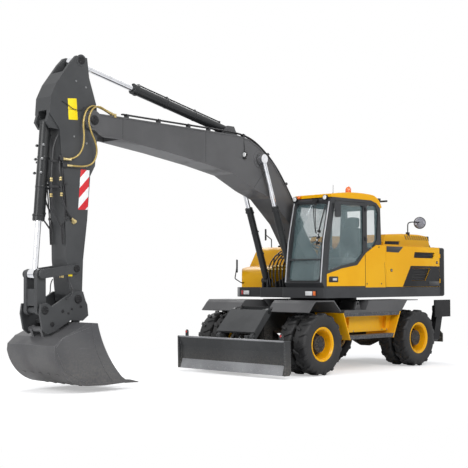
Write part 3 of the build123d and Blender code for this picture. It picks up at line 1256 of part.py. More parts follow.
with BuildPart() as bucket:
    with BuildSketch(Plane.XZ) as bucket_outside:
        add(
            bucket_profile(
                [(5690, 990), (5550, 620), (5237, 200)], [(5100, 110), (5554, 95)],
                [(5847, 105), (6270, 290), (6440, 600)], [(6430, 690), (6300, 800), (5840, 1000)],
            )
        )
        make_face()
    extrude(amount=BUCKET_HALF, both=True)
    with BuildSketch(Plane.XZ) as bucket_room:
        add(
            bucket_profile(
                [(5400, 990), (5200, 620), (5000, 300)], [(5050, 135), (5554, 125)],
                [(5840, 135), (6245, 315), (6405, 600)], [(6393, 675), (6270, 770), (5840, 970)],
            )
        )
        make_face()
    extrude(amount=BUCKET_HALF - BUCKET_CHEEK, both=True, mode=Mode.SUBTRACT)
    for hand, sign in SIDES:
        with BuildSketch(Plane.XZ.offset(-sign * (BUCKET_HALF + BUCKET_WEAR / 2))) as wear_plate:
            with BuildLine():
                ThreePointArc(*side([(5690, 990), (5550, 620), (5237, 200)]))
                Polyline(*side([(5237, 200), (5100, 110), (5390, 112), (5480, 220)]))
                ThreePointArc(*side([(5480, 220), (5690, 560), (5795, 980)]))
                Line(*side([(5795, 980), (5690, 990)]))
            make_face()
        extrude(amount=BUCKET_WEAR / 2, both=True)
    for number in range(BUCKET_TEETH):
        tooth_y = -BUCKET_HALF + 60 + number * (2 * BUCKET_HALF - 120) / (BUCKET_TEETH - 1)
        slab([(5150, 100), (5150, 150), (5060, 145), (4905, 105), (4905, 95)], tooth_y, 90)
    for y in (-120, 120):
        slab([(5690, 980), (5640, 1060), (5660, 1130), (5740, 1130), (5800, 1000), (5840, 960)], y, 50)
        slab([(6150, 820), (6230, 930), (6300, 960), (6350, 900), (6300, 780)], y, 50)
    for pivot in (BUCKET_PIN_REAR, BUCKET_PIN_FRONT):
        cross_bar(pivot, 42, -COUPLER_INNER_Y + FIT_GAP, COUPLER_INNER_Y - FIT_GAP)
write(bucket, "bucket")
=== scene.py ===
import math

import bmesh
import bpy
from mathutils import Matrix, Vector


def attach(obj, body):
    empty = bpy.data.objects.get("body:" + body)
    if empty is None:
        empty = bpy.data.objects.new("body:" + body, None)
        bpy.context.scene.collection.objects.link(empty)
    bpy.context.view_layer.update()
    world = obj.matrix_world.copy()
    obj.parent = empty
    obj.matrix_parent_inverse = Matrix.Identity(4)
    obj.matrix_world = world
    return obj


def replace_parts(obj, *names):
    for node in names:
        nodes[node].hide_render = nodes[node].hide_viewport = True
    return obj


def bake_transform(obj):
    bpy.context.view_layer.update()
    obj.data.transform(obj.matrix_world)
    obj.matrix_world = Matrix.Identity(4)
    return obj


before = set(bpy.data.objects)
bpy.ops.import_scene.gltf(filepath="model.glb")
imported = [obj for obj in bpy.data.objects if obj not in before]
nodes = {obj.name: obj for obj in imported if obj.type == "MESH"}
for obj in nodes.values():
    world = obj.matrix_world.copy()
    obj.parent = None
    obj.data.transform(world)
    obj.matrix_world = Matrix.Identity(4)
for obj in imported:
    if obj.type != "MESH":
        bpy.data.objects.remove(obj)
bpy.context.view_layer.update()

MID_X = -1.810          # middle of the wheelbase, in the row frame
AXLE_X = 1.425          # from there to each axle
TYRE_R = 0.527
UP = (0, 0, 1)


# ---- shader maths -------------------------------------------------------------------------
class Sock:
    """A socket of a material's node tree, with arithmetic."""

    def __init__(self, tree, socket):
        self.tree = tree
        self.socket = socket

    def node(self, kind, settings=None, out=0, **values):
        """Any other node: settings first, then the values or links of its sockets."""
        made = self.tree.nodes.new(kind)
        for key, value in (settings or {}).items():
            setattr(made, key, value)
        for key, value in values.items():
            place = int(key[1:]) if key[0] == "i" and key[1:].isdigit() else key.replace("_", " ")
            slot = made.inputs[place]
            if isinstance(value, Sock):
                self.tree.links.new(value.socket, slot)
            else:
                slot.default_value = value
        return Sock(self.tree, made.outputs[out])

    def maths(self, operation, *others):
        return self.node("ShaderNodeMath", {"operation": operation}, i0=self,
                         **{f"i{n + 1}": other for n, other in enumerate(others)})

    def __add__(self, other): return self.maths("ADD", other)
    def __radd__(self, other): return self.maths("ADD", other)
    def __mul__(self, other): return self.maths("MULTIPLY", other)
    def __rmul__(self, other): return self.maths("MULTIPLY", other)
    def __sub__(self, other): return self.maths("SUBTRACT", other)
    def __rsub__(self, other): return (self * -1.0) + other
    def __truediv__(self, other): return self.maths("DIVIDE", other)
    def __gt__(self, other): return self.maths("GREATER_THAN", other)
    def __mod__(self, other): return self.maths("FLOORED_MODULO", other)

    def clamp(self): return self.node("ShaderNodeClamp", i0=self)
    def smooth(self, low, high):
        return self.node("ShaderNodeMapRange", {"interpolation_type": "SMOOTHSTEP"}, i0=self, i1=low, i2=high)

    def mix(self, one, two):
        """one where this mask is 0 and two where it is 1."""
        return self.node("ShaderNodeMix", {"data_type": "RGBA"}, out=2, i0=self, i6=one, i7=two)

    def noise(self, scale, detail=3.0, rough=0.5):
        return self.node("ShaderNodeTexNoise", Vector=self, Scale=scale, Detail=detail, Roughness=rough)

    def stretched(self, x, y, z):
        return self.node("ShaderNodeVectorMath", {"operation": "MULTIPLY"}, i0=self, i1=(x, y, z))

    def dot(self, other):
        return self.node("ShaderNodeVectorMath", {"operation": "DOT_PRODUCT"}, out=1, i0=self, i1=other)

    def axis(self, name):
        return self.node("ShaderNodeSeparateXYZ", out="XYZ".index(name), i0=self)


def colour(red, green, blue):
    """A colour given as on a paint card, 0 to 255."""
    return (*[(c / 255) ** 2.2 for c in (red, green, blue)], 1.0)


MATERIALS = {}
EDGE_ROUND, EDGE_SAMPLES = 0.005, 4
# noises that the finishes are made from: (scale, detail, roughness)
CLOUDS = (1.3, 4.0)
GRAIN = (34.0, 5.0, 0.6)
ORANGE_PEEL = (420.0, 2.0)
SCRATCHES, SCRATCH_STRETCH = (7.0, 6.0, 0.7), (1.0, 9.0, 9.0)


def material(name, recipe, **constants):
    """A new material; the recipe gets the object's coordinates and returns what varies."""
    made = bpy.data.materials.new(name)
    made.use_nodes = True
    tree = made.node_tree
    shader = tree.nodes["Principled BSDF"]
    for key, value in constants.items():
        shader.inputs[key.replace("_", " ")].default_value = value
    place = Sock(tree, tree.nodes.new("ShaderNodeTexCoord").outputs["Object"])
    for key, value in recipe(place).items():
        tree.links.new(value.socket, shader.inputs[key.replace("_", " ")])
    MATERIALS[name] = made


def bump(place, height, strength, distance, **more):
    return place.node("ShaderNodeBump", Strength=strength, Distance=distance, Height=height, **more)


def facing(place):
    """The surface's own direction, before any bump."""
    return Sock(place.tree, place.tree.nodes.new("ShaderNodeNewGeometry").outputs["Normal"])


def painted(base, shade, peel=0.02, rough=0.32, dust=None, dust_amount=0.0, low=(0.25, 1.1), wear_and_highlight=None,
            edge_wear_and_highlight=0.5, scratched=0.0, round_by=EDGE_ROUND):
    """Sprayed paint: faint cloudiness, orange peel, softened edges, lighter edges that are partly rubbed paint and
    partly a painted highlight, dust where it lies low.
    """
    def recipe(place):
        cloud = place.noise(*CLOUDS).smooth(0.35, 0.65)
        fine = place.noise(*GRAIN)
        tint = cloud.mix(base, shade)
        soft = place.node("ShaderNodeBevel", {"samples": EDGE_SAMPLES}, Radius=round_by)
        grime = (fine * cloud).smooth(0.12, 0.42)
        if dust:
            foot = 1 - place.axis("Z").smooth(*low)
            settled = (foot * fine.smooth(0.32, 0.7) * dust_amount).clamp()
            tint = settled.mix(tint, dust)
        if wear_and_highlight:
            # lighter at the edges: partly rubbed paint, partly a painted highlight where the edges catch the light
            edge = (1 - soft.dot(facing(place))).smooth(0.004, 0.10)
            tint = (edge * (0.35 + fine) * edge_wear_and_highlight).clamp().mix(tint, wear_and_highlight)
        if scratched:
            drag = place.stretched(*SCRATCH_STRETCH).noise(*SCRATCHES).smooth(0.56, 0.72)
            tint = (drag * scratched).mix(tint, wear_and_highlight)
        return {
            "Base_Color": tint,
            "Roughness": grime * 0.16 + rough,
            "Normal": bump(place, place.noise(*ORANGE_PEEL) * peel + fine * 0.05, 0.25, 0.002, Normal=soft),
        }
    return recipe


DUST = colour(158, 148, 132)
# the worn colours: lighter edges and scratches; at the edges they also stand as a painted highlight
material("yellow_paint", painted(colour(238, 176, 0), colour(233, 168, 0), wear_and_highlight=colour(252, 206, 60), edge_wear_and_highlight=0.4),
         Coat_Weight=0.14, Coat_Roughness=0.12)
material("step_paint", painted(colour(248, 184, 12), colour(243, 172, 8), rough=0.38, wear_and_highlight=colour(255, 206, 70),
                               dust=DUST, dust_amount=0.25), Coat_Weight=0.2, Coat_Roughness=0.2)
material("arm_paint", painted(colour(74, 75, 76), colour(66, 67, 68), rough=0.36, wear_and_highlight=colour(112, 113, 115)),
         Coat_Weight=0.10, Coat_Roughness=0.2)
material("grey_paint", painted(colour(92, 92, 93), colour(84, 84, 85), rough=0.36, wear_and_highlight=colour(132, 133, 135)),
         Coat_Weight=0.10, Coat_Roughness=0.2)
material("dark_paint", painted(colour(44, 44, 45), colour(37, 37, 38), rough=0.40, wear_and_highlight=colour(84, 85, 86)),
         Coat_Weight=0.05, Coat_Roughness=0.25)
material("frame_paint", painted(colour(44, 45, 46), colour(36, 37, 38), rough=0.44, dust=DUST, dust_amount=0.3,
                                wear_and_highlight=colour(100, 100, 101)), Coat_Weight=0.12, Coat_Roughness=0.3)
material("barrel_paint", painted(colour(48, 49, 50), colour(40, 41, 42), rough=0.34, wear_and_highlight=colour(100, 101, 103)),
         Coat_Weight=0.3, Coat_Roughness=0.18)
material("cab_paint", painted(colour(58, 59, 61), colour(50, 51, 53), rough=0.34, wear_and_highlight=colour(106, 107, 109)),
         Coat_Weight=0.3, Coat_Roughness=0.15)
material("bucket_paint", painted(colour(92, 92, 93), colour(82, 82, 84), rough=0.36, dust=DUST, dust_amount=0.16,
                                 low=(0.0, 0.9), wear_and_highlight=colour(150, 151, 152), edge_wear_and_highlight=0.6, scratched=0.14),
         Coat_Weight=0.1, Metallic=0.15)
# light steel for the blade's wearing edge, also a painted highlight of the lit lower band, and for the bar across the
# blade, a painted highlight
material("blade_edge_and_highlight", painted(colour(150, 151, 153), colour(128, 129, 131), rough=0.30, wear_and_highlight=colour(196, 196, 198),
                               edge_wear_and_highlight=0.8, scratched=0.8))
material("blade_paint", painted(colour(70, 71, 72), colour(60, 61, 62), rough=0.36, wear_and_highlight=colour(170, 171, 172),
                                edge_wear_and_highlight=0.7, scratched=0.16, dust=DUST, dust_amount=0.22, low=(0.0, 0.5)),
         Coat_Weight=0.15)
material("casting", painted(colour(46, 46, 48), colour(36, 36, 38), peel=0.2, rough=0.5, dust=DUST, dust_amount=0.35))
material("black_plastic", painted(colour(30, 30, 32), colour(24, 24, 26), peel=0.1, rough=0.42, round_by=0.002))
material("cab_plastic", painted(colour(104, 107, 110), colour(92, 95, 98), peel=0.15, rough=0.5))
material("badge_plate", painted(colour(40, 41, 44), colour(34, 35, 38), rough=0.3, round_by=0.001), Coat_Weight=0.4)
material("bare_steel", painted(colour(150, 151, 152), colour(120, 121, 123), rough=0.3, round_by=0.002), Metallic=0.85)
material("trim_alloy", painted(colour(206, 207, 209), colour(190, 191, 194), rough=0.3, round_by=0.002), Metallic=0.35)
material("fitting_brass", painted(colour(202, 184, 132), colour(176, 156, 104), rough=0.3, round_by=0.001),
         Metallic=0.5)
material("label_yellow", painted(colour(250, 222, 20), colour(246, 214, 12), rough=0.4, round_by=0.0005))


def wheel_paint(place):
    """Yellow rims with a dark hub and a painted shade of darker orange in the rim's well, by the distance from the
    nearer axle.
    """
    across = (place.axis("X") - MID_X).maths("ABSOLUTE") - AXLE_X
    up = place.axis("Z") - TYRE_R
    out = (across * across + up * up).maths("SQRT")
    fine = place.noise(30.0, 4.0)
    soft = place.node("ShaderNodeBevel", {"samples": EDGE_SAMPLES}, Radius=0.004)
    hub = 1 - out.smooth(0.196, 0.200)
    # painted shade: a darker orange in the rim's well, inside the bright flange
    well_shade = (1 - out.smooth(0.25, 0.262)) * 0.5
    yellow = well_shade.mix(colour(252, 186, 14), colour(238, 158, 14))
    dusty = ((1 - out.smooth(0.2, 0.3)) * fine.smooth(0.4, 0.7) * 0.25).mix(yellow, colour(170, 140, 80))
    return {
        "Base_Color": hub.mix(dusty, colour(50, 50, 52)),
        "Roughness": fine * 0.14 + 0.26,
        "Normal": bump(place, fine, 0.1, 0.002, Normal=soft),
    }


def rubber(place):
    dust = place.noise(9.0, 6.0, 0.65).smooth(0.5, 0.8)
    grain = place.noise(160.0, 4.0)
    return {
        "Base_Color": (dust * 0.30).mix(colour(35, 35, 36), colour(84, 81, 77)),
        "Roughness": dust * 0.2 + 0.58,
        "Normal": bump(place, grain, 0.35, 0.003),
    }


def braided(base, thread):
    """A hose's cover: a fine weave that shows as a sheen."""
    def recipe(place):
        weave = place.node("ShaderNodeTexVoronoi", Vector=place, Scale=190.0)
        stain = place.noise(11.0, 4.0).smooth(0.4, 0.7)
        return {"Base_Color": (weave * 0.6 + stain * 0.4).clamp().mix(base, thread),
                "Roughness": stain * 0.12 + 0.34,
                "Normal": bump(place, weave, 0.3, 0.001)}
    return recipe


def chrome(place):
    smear = place.noise(14.0, 4.0).smooth(0.45, 0.75)
    return {"Base_Color": smear.mix(colour(236, 237, 240), colour(214, 216, 220)), "Roughness": smear * 0.10 + 0.10}


def glass(place):
    film = place.noise(3.0, 3.0).smooth(0.3, 0.8)
    return {"Base_Color": film.mix(colour(120, 146, 150), colour(134, 158, 160)), "Roughness": film * 0.04 + 0.03,
            "Alpha": film * 0.06 + 0.24}


def lens(face, deep):
    """A lamp's lens, ribbed."""
    def recipe(place):
        ribs = place.node("ShaderNodeTexWave", {"bands_direction": "Z"}, out=1, Vector=place, Scale=26.0)
        return {"Base_Color": ribs.mix(face, deep), "Roughness": ribs * 0.08 + 0.12,
                "Normal": bump(place, ribs, 0.35, 0.003)}
    return recipe


def woven(base, thread):
    def recipe(place):
        weave = place.node("ShaderNodeTexWave", {"bands_direction": "DIAGONAL"}, out=1, Vector=place, Scale=120.0)
        nap = place.noise(60.0, 4.0)
        return {"Base_Color": (weave * nap).mix(base, thread), "Roughness": weave * 0.1 + 0.78,
                "Normal": bump(place, weave + nap, 0.4, 0.002)}
    return recipe


def warning_stripes(place):
    """Red and white bars across the arm's plate."""
    run = ((place.axis("X") * 1.02 + place.axis("Z") * 1.0) * 3.55 + 0.34) % 1.0
    red = (run > 0.5) * 1.0
    wear = place.noise(40.0, 5.0).smooth(0.62, 0.8)
    tint = red.mix(colour(240, 240, 240), colour(204, 18, 34))
    return {"Base_Color": (wear * 0.25).mix(tint, colour(170, 165, 160)), "Roughness": wear * 0.2 + 0.34}


def treads(place):
    """Raised studs on the steps."""
    studs = place.node("ShaderNodeTexVoronoi", {"feature": "F1"}, Vector=place, Scale=34.0)
    high = 1 - studs.smooth(0.25, 0.5)
    dust = place.noise(12.0, 5.0).smooth(0.45, 0.75)
    return {"Base_Color": (high * 0.5 + dust * 0.3).clamp().mix(colour(58, 60, 64), colour(112, 114, 116)),
            "Roughness": dust * 0.2 + 0.42, "Normal": bump(place, high, 0.7, 0.004)}


material("rim_paint", wheel_paint, Coat_Weight=0.3, Coat_Roughness=0.15)
material("tyre_rubber", rubber)
material("rod_chrome", chrome, Metallic=1.0)
material("cab_glass", glass, Specular_IOR_Level=0.9, Coat_Weight=0.6)
material("seat_fabric", woven(colour(38, 39, 42), colour(70, 72, 76)))
material("hose_black", braided(colour(26, 26, 28), colour(52, 52, 54)), Coat_Weight=0.1)
material("hose_olive", braided(colour(150, 128, 66), colour(186, 162, 96)), Coat_Weight=0.25, Metallic=0.25)
material("lens_clear", lens(colour(246, 246, 244), colour(214, 216, 218)), Coat_Weight=0.8)
material("lens_orange", lens(colour(250, 120, 12), colour(226, 92, 8)), Coat_Weight=0.8)
material("lens_red", lens(colour(206, 26, 22), colour(160, 14, 14)), Coat_Weight=0.8)
material("mirror_glass", lens(colour(150, 151, 160), colour(120, 121, 130)), Metallic=0.35, Coat_Weight=0.6)
material("warning_stripes", warning_stripes, Coat_Weight=0.3)
material("step_tread", treads)

# paints that mirror little of the white surroundings
DULL_PAINTS = ("yellow_paint", "step_paint", "grey_paint", "arm_paint", "dark_paint", "frame_paint", "barrel_paint",
               "cab_paint", "bucket_paint", "blade_paint", "casting", "rim_paint")
DULL_SPECULAR = 0.18
for name in DULL_PAINTS:
    MATERIALS[name].node_tree.nodes["Principled BSDF"].inputs["Specular IOR Level"].default_value = DULL_SPECULAR

DRESS = {
    "yellow_paint": ("body_shell", "tank_cover", "left_panel", "engine_hood", "service_door_left",
                     "service_door_right", "cab_roof", "door_skin"),
    "step_paint": ("step_boxes",),
    "step_tread": ("step_treads",),
    "grey_paint": ("boom", "front_fenders", "side_decks"),
    "arm_paint": ("arm", "blade_guard_link", "bucket_rocker", "bucket_link", "quick_coupler"),
    "blade_paint": ("dozer_blade",),
    "barrel_paint": ("boom_cylinder", "arm_cylinder", "bucket_cylinder"),
    "cab_paint": ("cab_shell", "cab_door", "upper_frame"),
    "dark_paint": ("counterweight", "outrigger_leg_left", "outrigger_leg_right",
                   "outrigger_foot_left", "outrigger_foot_right"),
    "frame_paint": ("chassis_frame", "blade_lower_arms", "blade_cylinders"),
    "bucket_paint": ("bucket",),
    "casting": ("front_axle", "rear_axle", "driveline", "engine", "slewing_ring", "knuckle_left", "knuckle_right"),
    "rod_chrome": ("boom_rod", "arm_rod", "bucket_rod", "blade_rods"),
    "cab_glass": ("cab_glass", "door_glass"),
    "seat_fabric": ("operator_seat",),
    "cab_plastic": ("cab_console",),
    "black_plastic": ("mirrors", "work_lamps"),
    "tyre_rubber": tuple(n for n in nodes if n.startswith("tyres_")),
    "rim_paint": tuple(n for n in nodes if n.startswith("rim_")),
}
for finish, names in DRESS.items():
    for name in names:
        node = nodes[name]
        node.data.materials.clear()
        node.data.materials.append(MATERIALS[finish])
undressed = sorted(set(nodes) - {n for names in DRESS.values() for n in names})
assert not undressed, undressed


# ---- making meshes ------------------------------------------------------------------------
BOTH = (1, -1)          # left and right of the machine's middle


def at(x, y, z):
    """A place given from the middle of the wheelbase, in the row frame."""
    return Vector((x + MID_X, y, z))


def rect(x_from, x_to, z_from, z_to):
    return [(x_from, z_from), (x_to, z_from), (x_to, z_to), (x_from, z_to)]


def linked(name, data):
    """A new object in the scene."""
    made = bpy.data.objects.new(name, data)
    bpy.context.scene.collection.objects.link(made)
    return made


def final_mesh(made):
    """A mesh of what an object's curve or modifiers come to."""
    return bpy.data.meshes.new_from_object(made.evaluated_get(bpy.context.evaluated_depsgraph_get()))


def run_of(points):
    """The points that a smooth curve led by given points runs through."""
    data = bpy.data.curves.new("run", "CURVE")
    data.dimensions = "3D"
    spline = data.splines.new("NURBS")
    spline.points.add(len(points) - 1)
    for control, place in zip(spline.points, points):
        control.co = (*at(*place), 1)
    spline.order_u = 3
    spline.use_endpoint_u = True
    data.resolution_u = 10
    curve = linked("run", data)
    bpy.context.view_layer.update()
    mesh = final_mesh(curve)
    path = [v.co.copy() for v in mesh.vertices]
    bpy.data.meshes.remove(mesh)
    bpy.data.objects.remove(curve)
    return path


SOFTENED_ABOVE = math.radians(40)       # edges sharper than this take a bevel
PANE_CUT = 0.02                         # how far a mirror's corners are cut back


class Shape:
    """The mesh of one piece, gathered from turned, drawn and swept forms."""

    def __init__(self):
        self.bm = bmesh.new()

    def skin(self, rings, loop=False):
        """Joins rings of points one after the other, and closes the ends or joins them too."""
        rows = [[self.bm.verts.new(p) for p in ring] for ring in rings]
        count = len(rows[0])
        pairs = list(zip(rows, rows[1:])) + ([(rows[-1], rows[0])] if loop else [])
        for a, b in pairs:
            for i in range(count):
                j = (i + 1) % count
                self.bm.faces.new((a[i], a[j], b[j], b[i]))
        if not loop:
            self.bm.faces.new(rows[0][::-1])
            self.bm.faces.new(rows[-1])

    def turned(self, foot, top, profile, sides=20):
        """A turned form: profile is (distance from foot towards top, radius)."""
        way = (top - foot).normalized()
        turn = way.to_track_quat("Z", "X")
        self.skin([
            [foot + way * far + turn @ Vector((radius * math.cos(a), radius * math.sin(a), 0))
             for a in (math.tau * k / sides for k in range(sides))]
            for far, radius in profile
        ])

    def stub(self, foot, way, profile, sides=20):
        """A turned form that stands on foot and points along way."""
        self.turned(foot, foot + Vector(way), profile, sides)

    def bar(self, foot, top, radius, sides=14):
        self.turned(foot, top, [(0, radius), ((top - foot).length, radius)], sides)

    def plate(self, outline, y_from, y_to):
        """A plate drawn from the side, as (x, z), between two stations across the machine."""
        self.skin([[at(x, y, z) for x, z in outline] for y in sorted((y_from, y_to))])

    def block(self, x_from, x_to, y_from, y_to, z_from, z_to):
        self.plate(rect(x_from, x_to, z_from, z_to), y_from, y_to)

    def swept(self, path, radius, sides=10, loop=False):
        """A round bar along a path of points."""
        rings = []
        normal = None
        count = len(path)
        for k, p in enumerate(path):
            ahead = path[(k + 1) % count] if loop or k < count - 1 else p
            behind = path[k - 1] if loop or k > 0 else p
            way = (ahead - behind).normalized()
            if normal is None:
                normal = way.orthogonal().normalized()
            normal = (normal - way * normal.dot(way)).normalized()
            side = way.cross(normal)
            rings.append([
                p + (normal * math.cos(a) + side * math.sin(a)) * radius
                for a in (math.tau * i / sides for i in range(sides))
            ])
        self.skin(rings, loop)

    def pipe(self, points, radius, sides=10):
        """A bent pipe along a smooth curve."""
        self.swept(run_of(points), radius, sides)

    def bolt(self, foot, way, radius, height):
        """A hexagon head on its washer."""
        way = Vector(way).normalized()
        self.stub(foot, way, [(0, radius * 1.35), (height * 0.25, radius * 1.35)], 14)
        self.stub(foot, way, [(height * 0.2, radius), (height * 0.85, radius), (height, radius * 0.8)], 6)

    def ring_of_bolts(self, centre, way, ring, number, radius, height, start=0.0):
        turn = Vector(way).to_track_quat("Z", "X")
        for k in range(number):
            a = math.tau * k / number + start
            self.bolt(centre + turn @ Vector((ring * math.cos(a), ring * math.sin(a), 0)), way, radius, height)

    def pane(self, centre, out, across, half, tall, low, high):
        """A pane with cut corners that looks along out, between two heights above its centre."""
        slim, short = half - PANE_CUT, tall - PANE_CUT
        corners = [(-half, -short), (-slim, -tall), (slim, -tall), (half, -short),
                   (half, short), (slim, tall), (-slim, tall), (-half, short)]
        out, across = Vector(out).normalized(), Vector(across).normalized()
        self.skin([[centre + out * lift + across * a + Vector((0, 0, b)) for a, b in corners]
                   for lift in (low, high)])

    def piece(self, name, finish, body, slot=None, bevel=0.0, smooth=35.0):
        """Makes the piece, gives it its finish and sets it on its body."""
        bmesh.ops.recalc_face_normals(self.bm, faces=self.bm.faces)
        mesh = bpy.data.meshes.new(name)
        self.bm.to_mesh(mesh)
        self.bm.free()
        made = linked(name, mesh)
        if bevel:
            softened = made.modifiers.new("edges", "BEVEL")
            softened.width = bevel
            softened.segments = 2
            softened.limit_method = "ANGLE"
            softened.angle_limit = SOFTENED_ABOVE
            shaped = final_mesh(made)
            made.modifiers.clear()
            made.data = shaped
            bpy.data.meshes.remove(mesh)
            shaped.name = name
            mesh = shaped
        mesh.materials.append(MATERIALS[finish])
        mesh.shade_smooth()
        mesh.set_sharp_from_angle(angle=math.radians(smooth))
        if body:
            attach(made, body)
        return made


def side_plates(name, finish, body, rows, slot=None, bevel=0.0, signs=BOTH):
    """A piece of plates that lie on the machine's sides: rows of (outline, near, far)."""
    shape = Shape()
    for sign in signs:
        for outline, near, far in rows:
            shape.plate(outline, sign * near, sign * far)
    shape.piece(name, finish, body, slot, bevel)


def hose(name, points, diameter, finish):
    """A free hose from one body to the next, across their joint."""
    path = run_of(points)
    shape = Shape()
    shape.swept(path, diameter / 2, 12)
    made = shape.piece(name, finish, None)
    tuple(at(*points[0]))
    tuple(at(*points[-1]))
    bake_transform(made)
    tuple(at(*points[0]))


def ferrule(shape, points, radius):
    """A crimped end with its nut, on a hose's first points."""
    foot, top = at(*points[0]), at(*points[1])
    far = radius * 6
    shape.turned(foot, top, [(0, radius * 1.2), (far * 0.5, radius * 1.2), (far * 0.55, radius * 1.5),
                             (far * 0.75, radius * 1.5), (far * 0.8, radius * 1.25),
                             (far * 1.6, radius * 1.25)], 12)
    shape.turned(foot, top, [(0, radius * 1.75), (far * 0.35, radius * 1.75)], 6)


# ---- tyres and wheels ---------------------------------------------------------------------
HALF_TREAD = 0.139
LUGS = 15               # on each shoulder
TREAD_STEPS = 72
AXLES = (("front", AXLE_X), ("rear", -AXLE_X))
SIDES = (("left", 1), ("right", -1))
TYRE_YS = (1.131, 0.811)
# tyre section from bead to bead: (share of half the width, radius)
TYRE_SECTION = [
    (0.70, 0.262), (0.74, 0.285), (0.80, 0.300), (0.905, 0.318), (0.93, 0.330), (0.97, 0.350), (0.995, 0.385),
    (1.0, 0.410), (0.985, 0.440), (0.955, 0.462), (0.90, 0.482), (0.82, 0.494), (0.60, 0.499), (0.3, 0.501),
]
# one lug's crest along its length: (share, sweep round the tyre, crest radius, half width at the crest)
LUG_CREST = [
    (0.02, 0.000, 0.5265, 0.020), (0.25, 0.012, 0.5268, 0.023), (0.55, 0.032, 0.5262, 0.026),
    (0.80, 0.052, 0.5225, 0.029), (0.90, 0.060, 0.5120, 0.030), (0.965, 0.066, 0.4900, 0.028),
    (0.995, 0.068, 0.4560, 0.022),
]
LUG_HEIGHT = 0.042
RIB_FROM, RIB_TO, RIBS = 0.437, 0.462, 60       # short ribs on the shoulders: radii and number


def on_tyre(axle_x, y, radius, turn):
    """A place on a tyre, by its radius and its turn from the ground."""
    return at(axle_x + radius * math.sin(turn), y, TYRE_R - radius * math.cos(turn))


def tread(shape, axle_x, tyre_y):
    """A carcass turned from its section, with chevron lugs wrapped over its shoulders."""
    section = TYRE_SECTION + [(-share, radius) for share, radius in reversed(TYRE_SECTION)]
    shape.skin([[on_tyre(axle_x, tyre_y + share * HALF_TREAD, radius, math.tau * k / TREAD_STEPS)
                 for share, radius in section] for k in range(TREAD_STEPS)], loop=True)
    for number in range(2 * LUGS):
        turn = math.pi * number / LUGS
        side = 1 if number % 2 else -1
        rings = []
        for share, sweep, crest, half in LUG_CREST:
            ring = []
            for radius, wide in ((crest - LUG_HEIGHT, half + 0.014), (crest - 0.004, half + 0.001),
                                 (crest, half - 0.003)):
                ring.append((radius, turn + (sweep + wide) / TYRE_R))
            ring += [(radius, 2 * (turn + sweep / TYRE_R) - a) for radius, a in reversed(ring)]
            rings.append([on_tyre(axle_x, tyre_y + side * share * HALF_TREAD, r, a) for r, a in ring])
        shape.skin(rings)
    for edge in BOTH:
        y = tyre_y + edge * HALF_TREAD * 0.985
        for a in (math.tau * k / RIBS for k in range(RIBS)):
            shape.bar(on_tyre(axle_x, y, RIB_FROM, a), on_tyre(axle_x, y - edge * 0.006, RIB_TO, a), 0.003, 4)


for axle, axle_x in AXLES:
    for hand, sign in SIDES:
        body = f"wheel_{axle}_{hand}"
        out = (0, sign, 0)
        shape = Shape()
        for tyre_y in TYRE_YS:
            tread(shape, axle_x, sign * tyre_y)
        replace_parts(shape.piece(f"tyre_tread_{axle}_{hand}", "tyre_rubber", body, "tyre_rubber", smooth=40),
                    f"tyres_{axle}_{hand}")
        shape = Shape()
        shape.ring_of_bolts(at(axle_x, sign * 1.0525, TYRE_R), out, 0.172, 10, 0.013, 0.034)
        shape.ring_of_bolts(at(axle_x, sign * 1.180, TYRE_R), out, 0.104, 10, 0.008, 0.010, 0.2)
        shape.stub(at(axle_x, sign * 1.05, TYRE_R), out,
                   [(0, 0.150), (0.03, 0.150), (0.04, 0.142), (0.122, 0.140), (0.132, 0.124)], 40)
        shape.piece(f"wheel_nuts_{axle}_{hand}", "casting", body, "casting", bevel=0.001)
        shape = Shape()
        valve = run_of([(axle_x + 0.205, sign * 1.085, 0.62), (axle_x + 0.21, sign * 1.13, 0.63),
                        (axle_x + 0.215, sign * 1.17, 0.645)])
        shape.swept(valve, 0.006)
        shape.stub(valve[-1], (0, sign, 0.3), [(-0.002, 0.009), (0.02, 0.009), (0.024, 0.006)], 10)
        shape.piece(f"tyre_valve_{axle}_{hand}", "lens_red", body)


# ---- boom and arm -------------------------------------------------------------------------
CAP_THICK = 0.010


def caps(name, body, rows):
    """End caps with their bolts on both ends of each pin: (x, z, face of the cap, radius, bolts)."""
    shape = Shape()
    for x, z, face_y, radius, bolts in rows:
        for sign in BOTH:
            foot, out = at(x, sign * face_y, z), Vector((0, sign, 0))
            shape.stub(foot, out, [(0, radius), (CAP_THICK * 0.7, radius), (CAP_THICK, radius * 0.93)], 32)
            shape.ring_of_bolts(foot + out * CAP_THICK, out, radius * 0.62, bolts, 0.011, 0.011, 0.5)
    shape.piece(name, "dark_paint", body, "dark_paint", bevel=0.001)


COUPLER_FACE = 0.2505
caps("boom_pin_caps", "boom", [(5.51, 3.97, 0.2555, 0.072, 4)])
caps("arm_pin_caps", "arm", [(5.79, 1.33, 0.2585, 0.062, 3), (5.71, 4.84, 0.1885, 0.060, 3),
                             (5.785, 1.77, 0.2125, 0.052, 3)])
caps("coupler_pin_caps", "bucket", [
    (x, z, COUPLER_FACE, radius, bolts) for x, z, radius, bolts in (
        (6.365, 1.18, 0.060, 3), (6.24, 0.98, 0.034, 0), (6.06, 1.16, 0.022, 0),
        (5.96, 1.13, 0.016, 0), (5.90, 1.19, 0.016, 0), (5.74, 1.22, 0.020, 0))])
caps("boom_foot_caps", "upper", [(1.12, 1.60, 0.3835, 0.060, 3)])

